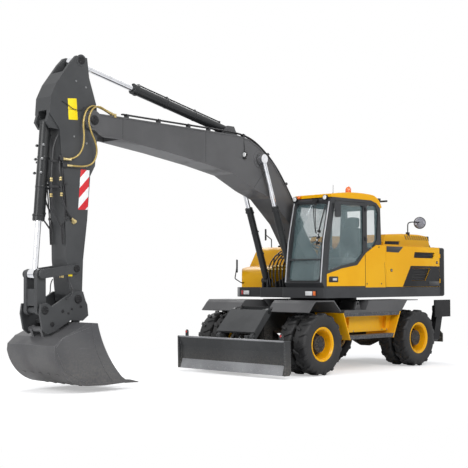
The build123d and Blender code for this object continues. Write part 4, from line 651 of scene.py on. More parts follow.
# pipes along the boom's top, as (x, z), and their clamps, as (x, z, lean of the boom there)
BOOM_PIPE = [(0.70, 2.60), (1.10, 3.18), (1.47, 3.64), (1.87, 3.93), (2.14, 4.05), (2.45, 4.10), (2.9, 4.106),
             (3.4, 4.108), (4.3, 4.112), (4.95, 4.118)]
BOOM_CLAMPS = ((1.20, 3.30, 0.87), (1.68, 3.78, 0.74), (2.28, 4.045, 0.3), (3.1, 4.072, 0.0), (3.555, 4.075, 0.0),
               (4.2, 4.079, 0.0), (4.85, 4.08, 0.0))
PIPE_R = 0.012
shape = Shape()
for pipe_y in (0.205, 0.175, -0.175, -0.205):
    shape.pipe([(x - PIPE_R, pipe_y, z + PIPE_R) for x, z in BOOM_PIPE], PIPE_R)
for x, z, lean in BOOM_CLAMPS:
    up = Vector((-math.sin(lean), 0, math.cos(lean)))
    along = Vector((math.cos(lean), 0, math.sin(lean)))
    for sign in BOTH:
        foot = at(x, sign * 0.19, z)
        shape.skin([[foot + along * a + Vector((0, b, 0)) + up * h for a, b in rect(-0.022, 0.022, -0.034, 0.034)]
                    for h in (-0.01, 0.058)])
        shape.bolt(foot + up * 0.058, up, 0.009, 0.010)
shape.piece("boom_pipes", "hose_black", "boom", "black_plastic", smooth=50)

LAMP_AIM = (1, 0, -0.15)
bodies, lenses = Shape(), Shape()
for sign in BOTH:
    spot = at(2.281, sign * 0.258, 3.752)
    bodies.bar(at(2.281, sign * 0.226, 3.70), at(2.281, sign * 0.268, 3.70), 0.010)
    bodies.block(2.25, 2.31, sign * 0.227, sign * 0.262, 3.675, 3.70)
    bodies.turned(spot + Vector((-0.03, 0, 0)), spot + Vector(LAMP_AIM),
                  [(0, 0.020), (0.012, 0.040), (0.05, 0.046), (0.056, 0.046)], 24)
    bodies.pipe([(2.275, sign * 0.24, 3.77), (2.27, sign * 0.234, 3.85), (2.285, sign * 0.232, 3.93),
                 (2.28, sign * 0.225, 4.04)], 0.006, 8)
    lenses.turned(spot + Vector((0.023, 0, -0.008)), spot + Vector(LAMP_AIM),
                  [(0, 0.041), (0.008, 0.036), (0.011, 0.02)], 24)
bodies.piece("boom_lamp_bodies", "black_plastic", "boom", "black_plastic", bevel=0.001)
lenses.piece("boom_lamp_lenses", "lens_clear", "boom", "lamp_glass")


def seams(shape, face_y, radius, runs):
    """Weld beads on both sides of a part: rows of (x, z, x, z)."""
    for y in (face_y, -face_y):
        for x0, z0, x1, z1 in runs:
            shape.bar(at(x0, y, z0), at(x1, y, z1), radius, 8)


# weld seams where the boom's plates meet
shape = Shape()
seams(shape, 0.2275, 0.0022, ((3.19, 4.04, 3.19, 3.54), (4.95, 4.05, 4.95, 3.75), (1.62, 3.66, 2.03, 3.20)))
shape.piece("boom_weld_seams", "dark_paint", "boom", "grey_paint")

# ---- arm: plates, hoses and their ends ------------------------------------------------------
ARM_FACE = 0.1805
side_plates("arm_stripe_plates", "warning_stripes", "arm",
            [([(5.545, 3.225), (5.706, 3.232), (5.748, 2.633), (5.572, 2.640)], ARM_FACE, 0.1825)], bevel=0.0005)
side_plates("arm_blank_label", "label_yellow", "arm",
            [([(5.79, 4.262), (5.948, 4.248), (5.930, 3.938), (5.765, 3.950)], ARM_FACE, 0.182)], bevel=0.0005)
side_plates("arm_label_rule", "black_plastic", "arm",
            [([(5.785, 4.105), (5.935, 4.092), (5.935, 4.086), (5.785, 4.099)], 0.1822, 0.1832)])

HOSE_D, FERRULE_R = 0.026, 0.0135
LOW_LOOP = [(5.14, 0.230, 4.096), (5.28, 0.230, 4.145), (5.42, 0.23, 4.20), (5.58, 0.28, 4.13), (5.655, 0.285, 3.96),
            (5.61, 0.285, 3.80), (5.50, 0.28, 3.62), (5.47, 0.27, 3.46), (5.54, 0.25, 3.31), (5.70, 0.235, 3.262),
            (5.88, 0.225, 3.262), (6.02, 0.202, 3.262)]
HIGH_LOOP = [(5.15, 0.206, 4.100), (5.32, 0.205, 4.16), (5.52, 0.22, 4.20), (5.68, 0.262, 4.10), (5.735, 0.265, 3.90),
             (5.705, 0.265, 3.70), (5.725, 0.255, 3.52), (5.81, 0.24, 3.40), (5.95, 0.225, 3.35), (6.04, 0.202, 3.352)]
WIRE = [(5.14, -0.195, 4.096), (5.32, -0.16, 4.20), (5.56, -0.06, 4.28), (5.66, 0.05, 4.22), (5.64, 0.2, 4.14),
        (5.72, 0.212, 4.10), (5.84, 0.196, 4.085), (5.99, 0.196, 4.17), (6.05, 0.19, 4.19)]
RETURN_LOOP = [(5.14, -0.212, 4.096), (5.28, -0.212, 4.145)] + [(x, -y, z) for x, y, z in LOW_LOOP[2:]]
hose("arm_feed_hose_low", LOW_LOOP, HOSE_D, "hose_olive")
hose("arm_feed_hose_high", HIGH_LOOP, HOSE_D, "hose_olive")
hose("arm_wire", WIRE, 0.011, "hose_black")
hose("arm_return_hose", RETURN_LOOP, HOSE_D, "hose_black")
near, far = Shape(), Shape()
for loop in (LOW_LOOP, HIGH_LOOP, RETURN_LOOP):
    ferrule(near, loop, FERRULE_R)
    ferrule(far, loop[::-1], FERRULE_R)
for sign in BOTH:
    near.block(5.09, 5.13, sign * 0.190, sign * 0.246, 4.055, 4.112)
near.piece("boom_nose_unions", "fitting_brass", "boom", bevel=0.001)
far.piece("arm_hose_ends", "fitting_brass", "arm")

# pipes down the arm's front edge, in clamps, from the blocks that the hoses end on
shape = Shape()
shape.block(6.05, 6.11, 0.178, 0.228, 3.325, 3.38)
for sign in BOTH:
    shape.block(5.98, 6.06, sign * 0.178, sign * 0.228, 3.235, 3.29)
    for start_z, off in ((3.35, 0.0), (3.26, 0.032)):
        shape.pipe([(6.052 - off * 0.4, sign * 0.196, start_z), (6.050 - off, sign * 0.196, 3.1),
                    (6.02 - off, sign * 0.196, 2.9), (5.985 - off, sign * 0.196, 2.52),
                    (6.000, sign * (0.165 - off), 2.41), (6.002, sign * (0.158 - off), 2.34),
                    (5.988, sign * (0.158 - off), 2.12)], 0.010)
    for x, z in ((6.01, 3.0), (5.976, 2.5)):
        shape.block(x - 0.045, x + 0.018, sign * 0.178, sign * 0.214, z - 0.018, z + 0.018)
        shape.bolt(at(x - 0.013, sign * 0.214, z), (0, sign, 0), 0.007, 0.008)
shape.piece("arm_pipes", "hose_black", "arm", "black_plastic", smooth=50)
shape = Shape()
for x, z in ((5.86, 1.70), (5.60, 3.28), (5.60, 3.62), (5.83, 3.7), (5.62, 4.45), (5.80, 4.52)):
    for sign in BOTH:
        shape.bolt(at(x, sign * 0.180, z), (0, sign, 0), 0.012, 0.012)
shape.piece("arm_bolts", "bare_steel", "arm")
side_plates("arm_blank_tag", "label_yellow", "arm",
            [([(5.845, 1.66), (5.915, 1.66), (5.918, 1.705), (5.850, 1.705)], ARM_FACE, 0.186)], bevel=0.0008,
            signs=(1,))

# hoses from the arm to the coupler's ram
for hand, sign in SIDES:
    hose(f"coupler_hose_{hand}", [(x, sign * y, z) for x, y, z in (
        (5.92, 0.192, 1.62), (5.925, 0.225, 1.575), (5.91, 0.264, 1.505), (5.90, 0.275, 1.43), (5.94, 0.274, 1.36),
        (6.01, 0.266, 1.33))], 0.016, "hose_black")


# ---- hydraulic cylinders ------------------------------------------------------------------
BARREL_PIPE_R, PIPE_GAP = 0.011, 0.020


def ram_gear(name, body, foot, eye, stations, barrel_r, barrel_length, turn):
    """Gland bolts, and a feed pipe with its clamps along each barrel."""
    foot, eye = at(foot[0], 0, foot[1]), at(eye[0], 0, eye[1])
    way = (eye - foot).normalized()
    up = Vector((-way.z, 0, way.x)) * turn
    off = barrel_r + PIPE_GAP
    shape = Shape()
    for y in stations:
        def on(far, lift=0.0):
            """A place so far along the barrel and so far out from its middle line."""
            return foot + Vector((0, y, 0)) + way * far + up * lift

        shape.ring_of_bolts(on(barrel_length), way, barrel_r - 0.006, 8, 0.008, 0.009)
        shape.stub(on(0), way, [(barrel_length - back, barrel_r + lift) for back, lift in (
            (0.088, 0.0105), (0.083, 0.016), (0.062, 0.016), (0.057, 0.0105))], 28)
        shape.swept([on(0.16, barrel_r * 0.9), on(0.18, off), on(0.30, off), on(barrel_length - 0.30, off),
                     on(barrel_length - 0.12, off), on(barrel_length - 0.10, barrel_r * 0.9)], BARREL_PIPE_R)
        for far in (0.18, barrel_length - 0.11):
            shape.stub(on(far, barrel_r * 0.8), up, [(0, 0.024), (0.045, 0.024)], 6)
        for far in (barrel_length * 0.36, barrel_length * 0.66):
            shape.bar(on(far - 0.014), on(far + 0.014), barrel_r + 0.004, 28)
            shape.stub(on(far, barrel_r - 0.005), up, [(0, 0.019), (0.042, 0.019)], 8)
    shape.piece(name, "barrel_paint", body, "barrel_paint", bevel=0.001)


ram_gear("arm_cylinder_gear", "arm_cylinder", (2.50, 4.16), (5.71, 4.84), (0,), 0.078, 2.12, 1)
ram_gear("bucket_cylinder_gear", "bucket_cylinder", (6.21, 3.885), (6.37, 1.69), (0,), 0.078, 1.43, -1)
ram_gear("boom_cylinder_gear", "boom_cylinders", (1.12, 1.60), (1.89, 3.70), (-0.312, 0.312), 0.058, 1.38, 1)

# ---- hoses at the boom's foot -------------------------------------------------------------
# (x, share of the hose's distance from the middle, z)
FOOT_LOOP = ((1.19, 1.05, 1.76), (1.14, 1, 1.93), (1.00, 0.95, 2.06), (0.86, 0.9, 2.14))
unions = Shape()
for k, y in enumerate((-0.20, -0.12, -0.04, 0.04, 0.12, 0.20)):
    lean = 0.012 * (k % 3)
    hose(f"boom_foot_hose_{k + 1}",
         [(1.14 + lean, y, 1.50), (1.16 + lean, y * 1.02, 1.60)] + [(x, y * share, z) for x, share, z in FOOT_LOOP],
         0.024, "hose_black")
    for z in (1.795, 1.850):
        unions.turned(at(1.186, y * 1.05, z), at(1.183, y * 1.05, z + 0.1),
                      [(0, 0.012), (0.004, 0.017), (0.020, 0.017), (0.024, 0.012)], 6)
unions.piece("boom_foot_unions", "fitting_brass", "upper")

# ---- coupler ------------------------------------------------------------------------------
shape = Shape()
shape.block(6.04, 6.12, -0.12, 0.12, 1.14, 1.21)
shape.ring_of_bolts(at(6.12, 0.0, 1.175), (1, 0, 0), 0.022, 4, 0.007, 0.008)
for y in (-0.09, 0.09):
    shape.turned(at(5.90, y, 1.17), at(6.12, y, 1.175), [(0, 0.030), (0.15, 0.030)], 20)
shape.piece("coupler_ram", "barrel_paint", "bucket", "barrel_paint", bevel=0.002)


# ---- cab ----------------------------------------------------------------------------------
CAB_FRONT = [(1.440, 1.56), (1.360, 2.28), (1.195, 2.985)]      # (x, z) of the windscreen's foot, bend and top


def front_x(z, off=0.0):
    """How far forward a place at this height lies, so far off the cab's front."""
    (x0, z0), (x1, z1), (x2, z2) = CAB_FRONT
    return off + (x0 + (x1 - x0) * (z - z0) / (z1 - z0) if z < z1 else x1 + (x2 - x1) * (z - z1) / (z2 - z1))


shape = Shape()
for y_from, y_to in ((1.206, 1.228), (0.420, 0.440)):
    shape.plate([(front_x(z, off), z) for z, off in (
        (1.57, 0.001), (2.28, 0.001), (2.96, 0.001), (2.96, 0.013), (2.28, 0.013), (1.57, 0.013))], y_from, y_to)
shape.piece("windscreen_side_trims", "trim_alloy", "upper", bevel=0.003)

# rubber seal round the windscreen, bent with it
CORNER, SEAL_LOW, SEAL_HIGH, SEAL_NEAR, SEAL_WIDE, SEAL_STEP = 0.075, 1.585, 2.945, 0.462, 1.190, 0.12
corners = []
for y, z, start in ((SEAL_WIDE - CORNER, SEAL_HIGH - CORNER, 0), (SEAL_NEAR + CORNER, SEAL_HIGH - CORNER, 90),
                    (SEAL_NEAR + CORNER, SEAL_LOW + CORNER, 180), (SEAL_WIDE - CORNER, SEAL_LOW + CORNER, 270)):
    for a in (math.radians(start + 15 * k) for k in range(7)):
        high = z + CORNER * math.sin(a)
        corners.append(at(front_x(high, 0.001), y + CORNER * math.cos(a), high))
seal = []
for a, b in zip(corners, corners[1:] + corners[:1]):
    steps = max(1, int((b - a).length / SEAL_STEP))
    for p in (a.lerp(b, k / steps) for k in range(steps)):
        seal.append(at(front_x(p.z, 0.001), p.y, p.z))
shape = Shape()
shape.swept(seal, 0.010, 8, loop=True)
shape.piece("windscreen_seal", "black_plastic", "upper", "black_plastic")

shape = Shape()
for top_y, foot_y, foot_z in ((0.905, 1.030, 2.42), (0.945, 1.048, 2.40)):
    shape.pipe([(1.225, top_y, 2.99), (1.262, top_y + 0.005, 2.88), (front_x(2.6, 0.03), (top_y + foot_y) / 2, 2.6),
                (front_x(foot_z, 0.022), foot_y, foot_z)], 0.007, 8)
shape.block(1.20, 1.24, 0.87, 0.98, 2.965, 3.01)
# the long wiper, and the two rods under it: radius, then (height that gives the front, off, y, z)
for radius, points in (
        (0.011, ((2.88, 0.025, 1.165, 2.88), (2.66, 0.028, 1.13, 2.66), (2.42, 0.028, 1.10, 2.42),
                 (2.20, 0.026, 1.09, 2.20))),
        (0.006, ((2.36, 0.03, 1.10, 2.36), (2.34, 0.03, 1.00, 2.345), (2.33, 0.03, 0.91, 2.345))),
        (0.006, ((2.30, 0.03, 1.10, 2.30), (2.25, 0.03, 1.02, 2.24), (2.24, 0.03, 0.96, 2.27)))):
    shape.pipe([(front_x(height, off), y, z) for height, off, y, z in points], radius, 8)
for z in (2.44, 2.34, 2.24):
    shape.block(front_x(z, 0.002), front_x(z, 0.045), 1.085, 1.125, z - 0.022, z + 0.022)
shape.piece("wipers", "black_plastic", "upper", "black_plastic", smooth=50)
shape = Shape()
for z in (2.405, 2.355, 2.29):
    shape.bolt(at(front_x(z, 0.045), 1.105, z), (1, 0, 0), 0.012, 0.010)
shape.piece("wiper_nuts", "trim_alloy", "upper")

shape = Shape()
shape.stub(at(0.138, 0.80, 3.115), UP, [(0, 0.064), (0.055, 0.064), (0.062, 0.052)], 32)
shape.bar(at(0.579, 0.8, 3.12), at(0.579, 0.8, 3.165), 0.018)
shape.bar(at(0.579, 0.8, 3.15), at(0.575, 0.8, 3.31), 0.004, 8)
shape.block(-0.365, -0.295, 1.055, 1.155, 3.03, 3.10)
shape.bar(at(-0.33, 1.105, 3.04), at(-0.262, 1.105, 2.975), 0.014)
shape.piece("roof_mounts", "black_plastic", "upper", "black_plastic", bevel=0.002)
shape = Shape()
shape.stub(at(0.138, 0.80, 3.177), UP, [(0, 0.052), (0.008, 0.056), (0.085, 0.052), (0.115, 0.040), (0.130, 0.022),
                                        (0.134, 0.004)], 36)
shape.piece("roof_beacon", "lens_orange", "upper", smooth=60)
# a thin dark strip that stands behind the cab's roof
shape = Shape()
shape.block(-0.6305, -0.618, 0.500, 1.115, 3.052, 3.086)
shape.piece("roof_visor", "black_plastic", "upper", "black_plastic", bevel=0.003)

# lamp lenses: (name, finish, face x, y from, y to)
LENS_Z, LENS_THICK = (1.345, 1.418), 0.006
LENSES = (
    ("headlamp_left", "lens_clear", 1.3885, 0.832, 0.982), ("indicator_left", "lens_orange", 1.3885, 1.000, 1.058),
    ("headlamp_right", "lens_clear", 1.0585, -0.945, -0.806), ("indicator_right", "lens_red", 1.0585, -1.004, -0.958),
)
for name, finish, x, y_from, y_to in LENSES:
    shape = Shape()
    shape.block(x, x + LENS_THICK, y_from, y_to, *LENS_Z)
    shape.piece(name, finish, "upper", "lamp_glass", bevel=0.0025)
ROUND_LENS = [(0, 0.039), (0.005, 0.036), (0.008, 0.022)]
for name, finish, x, y, z, profile, sides in (
        ("roof_lamp_inner", "lens_clear", 1.2376, 0.462, 3.029, ROUND_LENS, 28),
        ("roof_lamp_outer", "lens_clear", 1.2376, 1.140, 3.029, ROUND_LENS, 28),
        ("roof_side_lamp", "lens_orange", 1.2, 0.545, 3.055, [(0, 0.028), (0.035, 0.028), (0.04, 0.02)], 20)):
    shape = Shape()
    shape.stub(at(x, y, z), (1, 0, 0), profile, sides)
    shape.piece(name, finish, "upper", "lamp_glass")

# door: handle and its plate
side_plates("door_handle_plate", "black_plastic", "cab_door", [(rect(1.02, 1.27, 1.576, 1.666), 1.2503, 1.2535)],
            "black_plastic", 0.001, (1,))
side_plates("door_handle", "trim_alloy", "cab_door", [(rect(1.06, 1.17, 1.60, 1.642), 1.2536, 1.266)],
            bevel=0.006, signs=(1,))

# ---- body ---------------------------------------------------------------------------------
DOOR_FACE = 1.2502      # outside of the service doors and the left panel
# dark field low on the service doors, left open round the lower vent
DARK_PANEL = (
    [(-0.905, 1.490), (-0.980, 1.600), (-2.138, 1.600), (-2.138, 1.490)],
    [(-0.980, 1.600), (-1.142, 1.840), (-1.222, 1.840), (-1.198, 1.600)],
    [(-1.657, 1.600), (-1.828, 1.840), (-2.138, 1.840), (-2.138, 1.600)],
    [(-1.142, 1.840), (-1.167, 1.878), (-2.138, 1.878), (-2.138, 1.840)],
)
VENT_BACKS = ([(-1.228, 1.836), (-1.824, 1.836), (-1.657, 1.604), (-1.204, 1.604)],
              [(-1.304, 2.136), (-1.980, 2.136), (-1.917, 2.032), (-1.274, 2.032)])
# vents of the service doors: corners from the top front by the back to the bottom front, and number of slats
VENTS = (((-1.225, 1.840), (-1.830, 1.840), (-1.660, 1.600), (-1.200, 1.600), 8),
         ((-1.300, 2.140), (-1.985, 2.140), (-1.920, 2.028), (-1.270, 2.028), 4))
SLAT = ((1.2255, 0.002), (1.2455, -0.010), (1.2455, -0.007), (1.2255, 0.006))       # (y, lift) of its section
# the hood's vents: back plates, then the slanted bars before them
HOOD_VENT = [([(-1.455, 2.474), (-2.345, 2.474), (-2.345, 2.383), (-1.455, 2.383)], 0.862, 0.872),
             ([(-0.857, 2.341), (-1.322, 2.348), (-1.297, 2.287), (-0.831, 2.287)], 0.8882, 0.8895)]
HOOD_VENT += [([(x, 2.343), (x - 0.018, 2.343), (x - 0.004, 2.287), (x + 0.014, 2.287)], 0.8895, 0.899)
              for x in (-0.875 - 0.05 * k for k in range(9))]
HOOD_VENT += [([(x - 1.496, 2.468), (x - 1.468, 2.468), (x - 1.525, 2.389), (x - 1.553, 2.389)], 0.872, 0.9012)
              for x in (-0.0765 * k for k in range(11))]

for hand, sign in SIDES:
    body = f"service_door_{hand}"
    own = (sign,)
    side_plates(f"blank_badge_{hand}", "badge_plate", body,
                [([(-0.400, 2.228), (-0.925, 2.228), (-0.775, 2.118), (-0.400, 2.124)], DOOR_FACE, DOOR_FACE + 0.004)],
                bevel=0.001, signs=own)
    side_plates(f"door_dark_panel_{hand}", "dark_paint", body, [(field, 1.2435, 1.2518) for field in DARK_PANEL],
                signs=own)
    side_plates(f"blank_plate_{hand}", "badge_plate", body, [(rect(-1.77, -2.125, 1.588, 1.508), 1.2519, 1.2545)],
                bevel=0.001, signs=own)
    side_plates(f"hood_vent_mesh_{hand}", "black_plastic", "hood", HOOD_VENT, "black_plastic", signs=own)
    side_plates(f"vent_backs_{hand}", "hose_black", body, [(back, 1.2252, 1.2262) for back in VENT_BACKS],
                "black_plastic", signs=own)
    shape = Shape()
    for (x0, z1), (x1, _), (x2, z0), (x3, _), slats in VENTS:
        for share in ((k + 0.5) / slats for k in range(slats)):
            z = z1 + (z0 - z1) * share
            ends = x0 + (x3 - x0) * share - 0.012, x1 + (x2 - x1) * share + 0.012
            shape.skin([[at(x, sign * y, z + lift) for y, lift in SLAT] for x in ends])
    shape.piece(f"vent_slats_{hand}", "black_plastic", body, "black_plastic")
    side_plates(f"door_latches_{hand}", "black_plastic", body, [
        (rect(-0.52, -0.575, 1.765, 1.815), DOOR_FACE, DOOR_FACE + 0.006),
        (rect(-2.02, -2.075, 1.925, 1.975), DOOR_FACE, DOOR_FACE + 0.006)], "black_plastic", 0.002, own)
    shape = Shape()
    for x, z in ((-0.5475, 1.79), (-2.0475, 1.95)):
        shape.stub(at(x, sign * 1.256, z), (0, sign, 0), [(0, 0.010), (0.004, 0.010), (0.005, 0.006)], 16)
    shape.piece(f"latch_locks_{hand}", "trim_alloy", body)

shape = Shape()
shape.plate([(-0.334, 1.930), (-0.338, 1.930), (-0.374, 1.490), (-0.370, 1.490)], DOOR_FACE, 1.2512)
for x, z in ((-0.17, 2.203), (-0.241, 1.547), (0.19, 1.545)):
    shape.stub(at(x, DOOR_FACE, z), (0, 1, 0), [(0, 0.014), (0.003, 0.014), (0.004, 0.008)], 18)
shape.piece("left_panel_fixings", "black_plastic", "upper", "black_plastic")

shape = Shape()
shape.pipe([(1.00, -0.245, 1.88), (1.00, -0.24, 1.956), (1.00, -0.231, 2.039), (1.00, -0.165, 2.066),
            (1.00, -0.045, 2.078), (0.97, 0.0, 2.07)], 0.012)
shape.pipe([(1.00, -0.15, 1.88), (1.00, -0.147, 1.955), (1.00, -0.11, 2.01), (1.00, -0.018, 2.008),
            (0.97, 0.02, 2.0)], 0.012)
shape.piece("boom_foot_pipes", "black_plastic", "upper", "black_plastic", smooth=60)

# mirror on the hood, and the panes of the other mirrors
MIRROR_FOOT, MIRROR_AIM = at(-2.00, 0.90, 2.730), (1.0, 0.5, 0.0)
shape = Shape()
shape.pipe([(-1.631, 0.87, 2.46), (-1.631, 0.87, 2.60), (-1.633, 0.87, 2.69), (-1.66, 0.875, 2.725),
            (-1.80, 0.89, 2.745), (-1.99, 0.90, 2.735)], 0.011)
shape.stub(MIRROR_FOOT, MIRROR_AIM, [(-0.03, 0.05), (-0.02, 0.09), (0.0, 0.118), (0.014, 0.118)], 36)
shape.block(-1.66, -1.60, 0.845, 0.895, 2.44, 2.535)
shape.piece("hood_mirror_body", "black_plastic", "hood", "black_plastic", smooth=50)
shape = Shape()
shape.stub(MIRROR_FOOT, MIRROR_AIM, [(0.0135, 0.106), (0.018, 0.090), (0.022, 0.055), (0.023, 0.01)], 36)
shape.piece("hood_mirror_glass", "mirror_glass", "hood", smooth=60)
shape = Shape()
for x, y, z, half, tall in ((1.05, -1.13, 1.874, 0.066, 0.112), (0.30, -1.085, 2.487, 0.052, 0.102)):
    shape.pane(at(x, y, z), (-1, 1, 0), (1, 1, 0), half, tall, 0.0142, 0.0172)
shape.piece("mirror_glasses", "mirror_glass", "upper")
shape = Shape()
shape.pane(at(1.085, 1.305, 2.81), (-1, -1, 0), (1, -1, 0), 0.046, 0.115, 0.0152, 0.018)
shape.piece("door_mirror_glass", "mirror_glass", "cab_door")

# exhaust, filler cap, lifting eyes and lamps at the back
DECK_TOP = 2.2405
shape = Shape()
shape.pipe([(-1.55, -0.55, 2.49), (-1.55, -0.55, 2.58), (-1.57, -0.55, 2.66), (-1.66, -0.55, 2.72)], 0.055, 24)
shape.stub(at(-1.55, -0.55, 2.495), UP, [(0, 0.085), (0.012, 0.085), (0.02, 0.06)], 28)
shape.piece("exhaust_pipe", "casting", "hood", "casting", smooth=60)
shape = Shape()
shape.stub(at(0.10, -0.85, DECK_TOP), UP, [(0, 0.07), (0.03, 0.07), (0.036, 0.06)], 28)
for y in (-0.75, 0.75):
    eye = [(0.07 * math.cos(a) - 2.50, 0.085 * math.sin(a) + DECK_TOP) for a in (math.pi * k / 10 for k in range(11))]
    shape.plate(eye, y - 0.018, y + 0.018)
shape.piece("filler_and_eyes", "casting", "upper", "casting", bevel=0.002)
for hand, sign in SIDES:
    shape = Shape()
    shape.stub(at(-2.62, sign * 0.78, 2.0), (-1, sign * 0.62, 0), [(-0.03, 0.05), (0.045, 0.05), (0.06, 0.035)], 24)
    shape.piece(f"tail_lamp_{hand}", "lens_red", "upper", "lamp_glass")


# ---- seat: crowned pads on the seat's frame -------------------------------------------------
CHANNELS, CHANNEL_WIDTH = (-0.45, 0.45), 0.045      # sewn channels, as shares of half the width


def pad(name, centre, size, lean, crown, channels):
    """A pad whose faces swell, pinched in at its edges and along its sewn channels."""
    half = [s / 2 for s in size]
    grid = bmesh.new()
    bmesh.ops.create_cube(grid, size=2.0)
    bmesh.ops.subdivide_edges(grid, edges=grid.edges, cuts=11, use_grid_fill=True)
    turn = Matrix.Rotation(lean, 3, "Y")
    for v in grid.verts:
        a, b, c = v.co
        round_off = (1 - 0.16 * abs(a) ** 6 * abs(b) ** 2 - 0.10 * abs(c) ** 4 * (abs(a) ** 8 + abs(b) ** 8) / 2)
        swell = (1 - a ** 4) * (1 - b ** 4)
        sewn = sum(math.exp(-((b - line) / CHANNEL_WIDTH) ** 2) for line in channels)
        c = c * (0.80 + crown * swell - 0.12 * min(1, sewn) * (1 - a ** 6))
        v.co = turn @ Vector((a * half[0] * round_off, b * half[1] * round_off, c * half[2])) + at(*centre)
    mesh = bpy.data.meshes.new(name)
    grid.to_mesh(mesh)
    grid.free()
    mesh.materials.append(MATERIALS["seat_fabric"])
    made = linked(name, mesh)
    fuller = made.modifiers.new("fuller", "SUBSURF")
    fuller.levels = fuller.render_levels = 1
    mesh.shade_smooth()
    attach(made, "upper")
    return made


cushion = pad("seat_cushion", (0.365, 0.826, 1.925), (0.50, 0.50, 0.150), -0.05, 0.34, CHANNELS)
pad("seat_backrest", (0.095, 0.826, 2.25), (0.66, 0.47, 0.145), math.radians(86), 0.34, CHANNELS)
pad("seat_headrest", (0.050, 0.826, 2.65), (0.20, 0.27, 0.095), math.radians(88), 0.30, ())
shape = Shape()
shape.block(0.18, 0.52, 0.646, 1.006, 1.5405, 1.845)
for z in (1.60 + 0.045 * k for k in range(5)):
    shape.block(0.172, 0.528, 0.638, 1.014, z, z + 0.022)
for y in (0.76, 0.89):
    shape.bar(at(0.055, y, 2.50), at(0.050, y, 2.60), 0.008)
shape.piece("seat_base", "black_plastic", "upper", "black_plastic", bevel=0.003)
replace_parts(cushion, "operator_seat")

# ---- undercarriage ------------------------------------------------------------------------
shape = Shape()
for y in (-1.06, 1.17):
    shape.stub(at(2.4152, y, 0.70), (1, 0, 0), [(0, 0.020), (0.004, 0.019), (0.007, 0.011)])
shape.piece("blade_lamp_lenses", "lens_red", "blade", "lamp_glass")
STEP_FACE = 1.1001      # outside of the step boxes
shape = Shape()
for sign in BOTH:
    for x in (0.70, 0.55, 0.40, -0.45, -0.60, -0.72):
        for z in (1.02, 0.71):
            shape.bolt(at(x, sign * STEP_FACE, z), (0, sign, 0), 0.010, 0.010)
    for x in (0.655, -0.465):
        shape.block(x - 0.05, x + 0.05, sign * STEP_FACE, sign * 1.112, 0.965, 0.985)
shape.piece("step_box_bolts", "bare_steel", "root", bevel=0.001)

# bright wearing edge along the blade's foot, with its bolts, and the bright bar across the blade; the edge's light
# steel is partly a painted highlight of the lit lower band, and the bar's brightness is a painted highlight
shape = Shape()
shape.plate([(2.4195, 0.058), (2.3695, 0.222), (2.3605, 0.222), (2.4085, 0.058)], -1.205, 1.205)
for k in range(12):
    shape.bolt(at(2.404, -1.10 + 0.2 * k, 0.105), (0.957, 0, 0.29), 0.012, 0.006)
# the bar's bright colour is a painted highlight along the blade's rolled top
shape.bar(at(2.409, -1.246, 0.612), at(2.409, 1.246, 0.612), 0.0152, 20)
shape.piece("blade_wearing_edge_and_highlight_bar", "blade_edge_and_highlight", "blade", bevel=0.001)
FENDER_SLOPE = [(1.118, 1.2325), (0.986, 1.104), (0.982, 1.108), (1.114, 1.2365)]
side_plates("fender_treads", "black_plastic", "root",
            [(FENDER_SLOPE, y, y + 0.075) for y in (0.80 + 0.105 * k for k in range(4))], "black_plastic")

# ---- pipes, hoses and fittings along the arm's front edge -----------------------------------
FRONT_LINES = (
    [(6.10, 0.150, 3.70), (6.174, 0.160, 3.58), (6.200, 0.165, 3.35), (6.215, 0.168, 3.09), (6.220, 0.168, 2.78),
     (6.190, 0.168, 2.60), (6.130, 0.165, 2.50), (6.060, 0.155, 2.42), (6.015, 0.150, 2.36)],
    [(6.085, 0.190, 3.40), (6.105, 0.200, 3.16), (6.080, 0.200, 3.06), (6.063, 0.200, 2.84), (6.050, 0.200, 2.76),
     (6.000, 0.205, 2.66), (5.936, 0.208, 2.56), (5.870, 0.208, 2.485)],
)
FRONT_UNIONS = ((6.217, 0.168, 3.042), (6.078, 0.200, 3.063), (6.220, 0.168, 2.816), (6.062, 0.200, 2.836))
lines, unions = Shape(), Shape()
for sign in BOTH:
    for way in FRONT_LINES:
        lines.pipe([(x, sign * y, z) for x, y, z in way], 0.012, 12)
    for z in (2.945, 3.315):
        lines.block(5.985, 6.240, sign * 0.152, sign * 0.186, z - 0.014, z + 0.014)
    for x, y, z in FRONT_UNIONS:
        for lift in (-0.027, 0.003):
            unions.stub(at(x, sign * y, z + lift), UP, [(0, 0.019), (0.003, 0.022), (0.021, 0.022), (0.024, 0.019)], 6)
    foot = at(5.829, sign * 0.180, 2.455)
    unions.stub(foot, (0, sign, 0), [(0, 0.040), (0.018, 0.040), (0.020, 0.030), (0.040, 0.030), (0.042, 0.022),
                                     (0.056, 0.022)], 6)
    unions.turned(foot + Vector((0.012, sign * 0.028, 0.012)), foot + Vector((0.8, sign * 0.028, 0.6)),
                  [(0, 0.020), (0.046, 0.020), (0.05, 0.015)], 6)
    unions.block(6.005, 6.052, sign * 0.150, sign * 0.196, 1.640, 1.700)
lines.piece("arm_front_lines", "hose_black", "arm", "black_plastic", smooth=50)
unions.piece("arm_front_unions", "fitting_brass", "arm", bevel=0.001)
shape = Shape()
for x, z in ((6.297, 3.545), (6.318, 3.345), (6.334, 3.143)):
    for sign in BOTH:
        shape.stub(at(x, sign * 0.070, z), (0, sign, 0), [(0, 0.020), (0.022, 0.020), (0.026, 0.012)], 16)
shape.piece("bucket_cylinder_clips", "bare_steel", "bucket_cylinder")

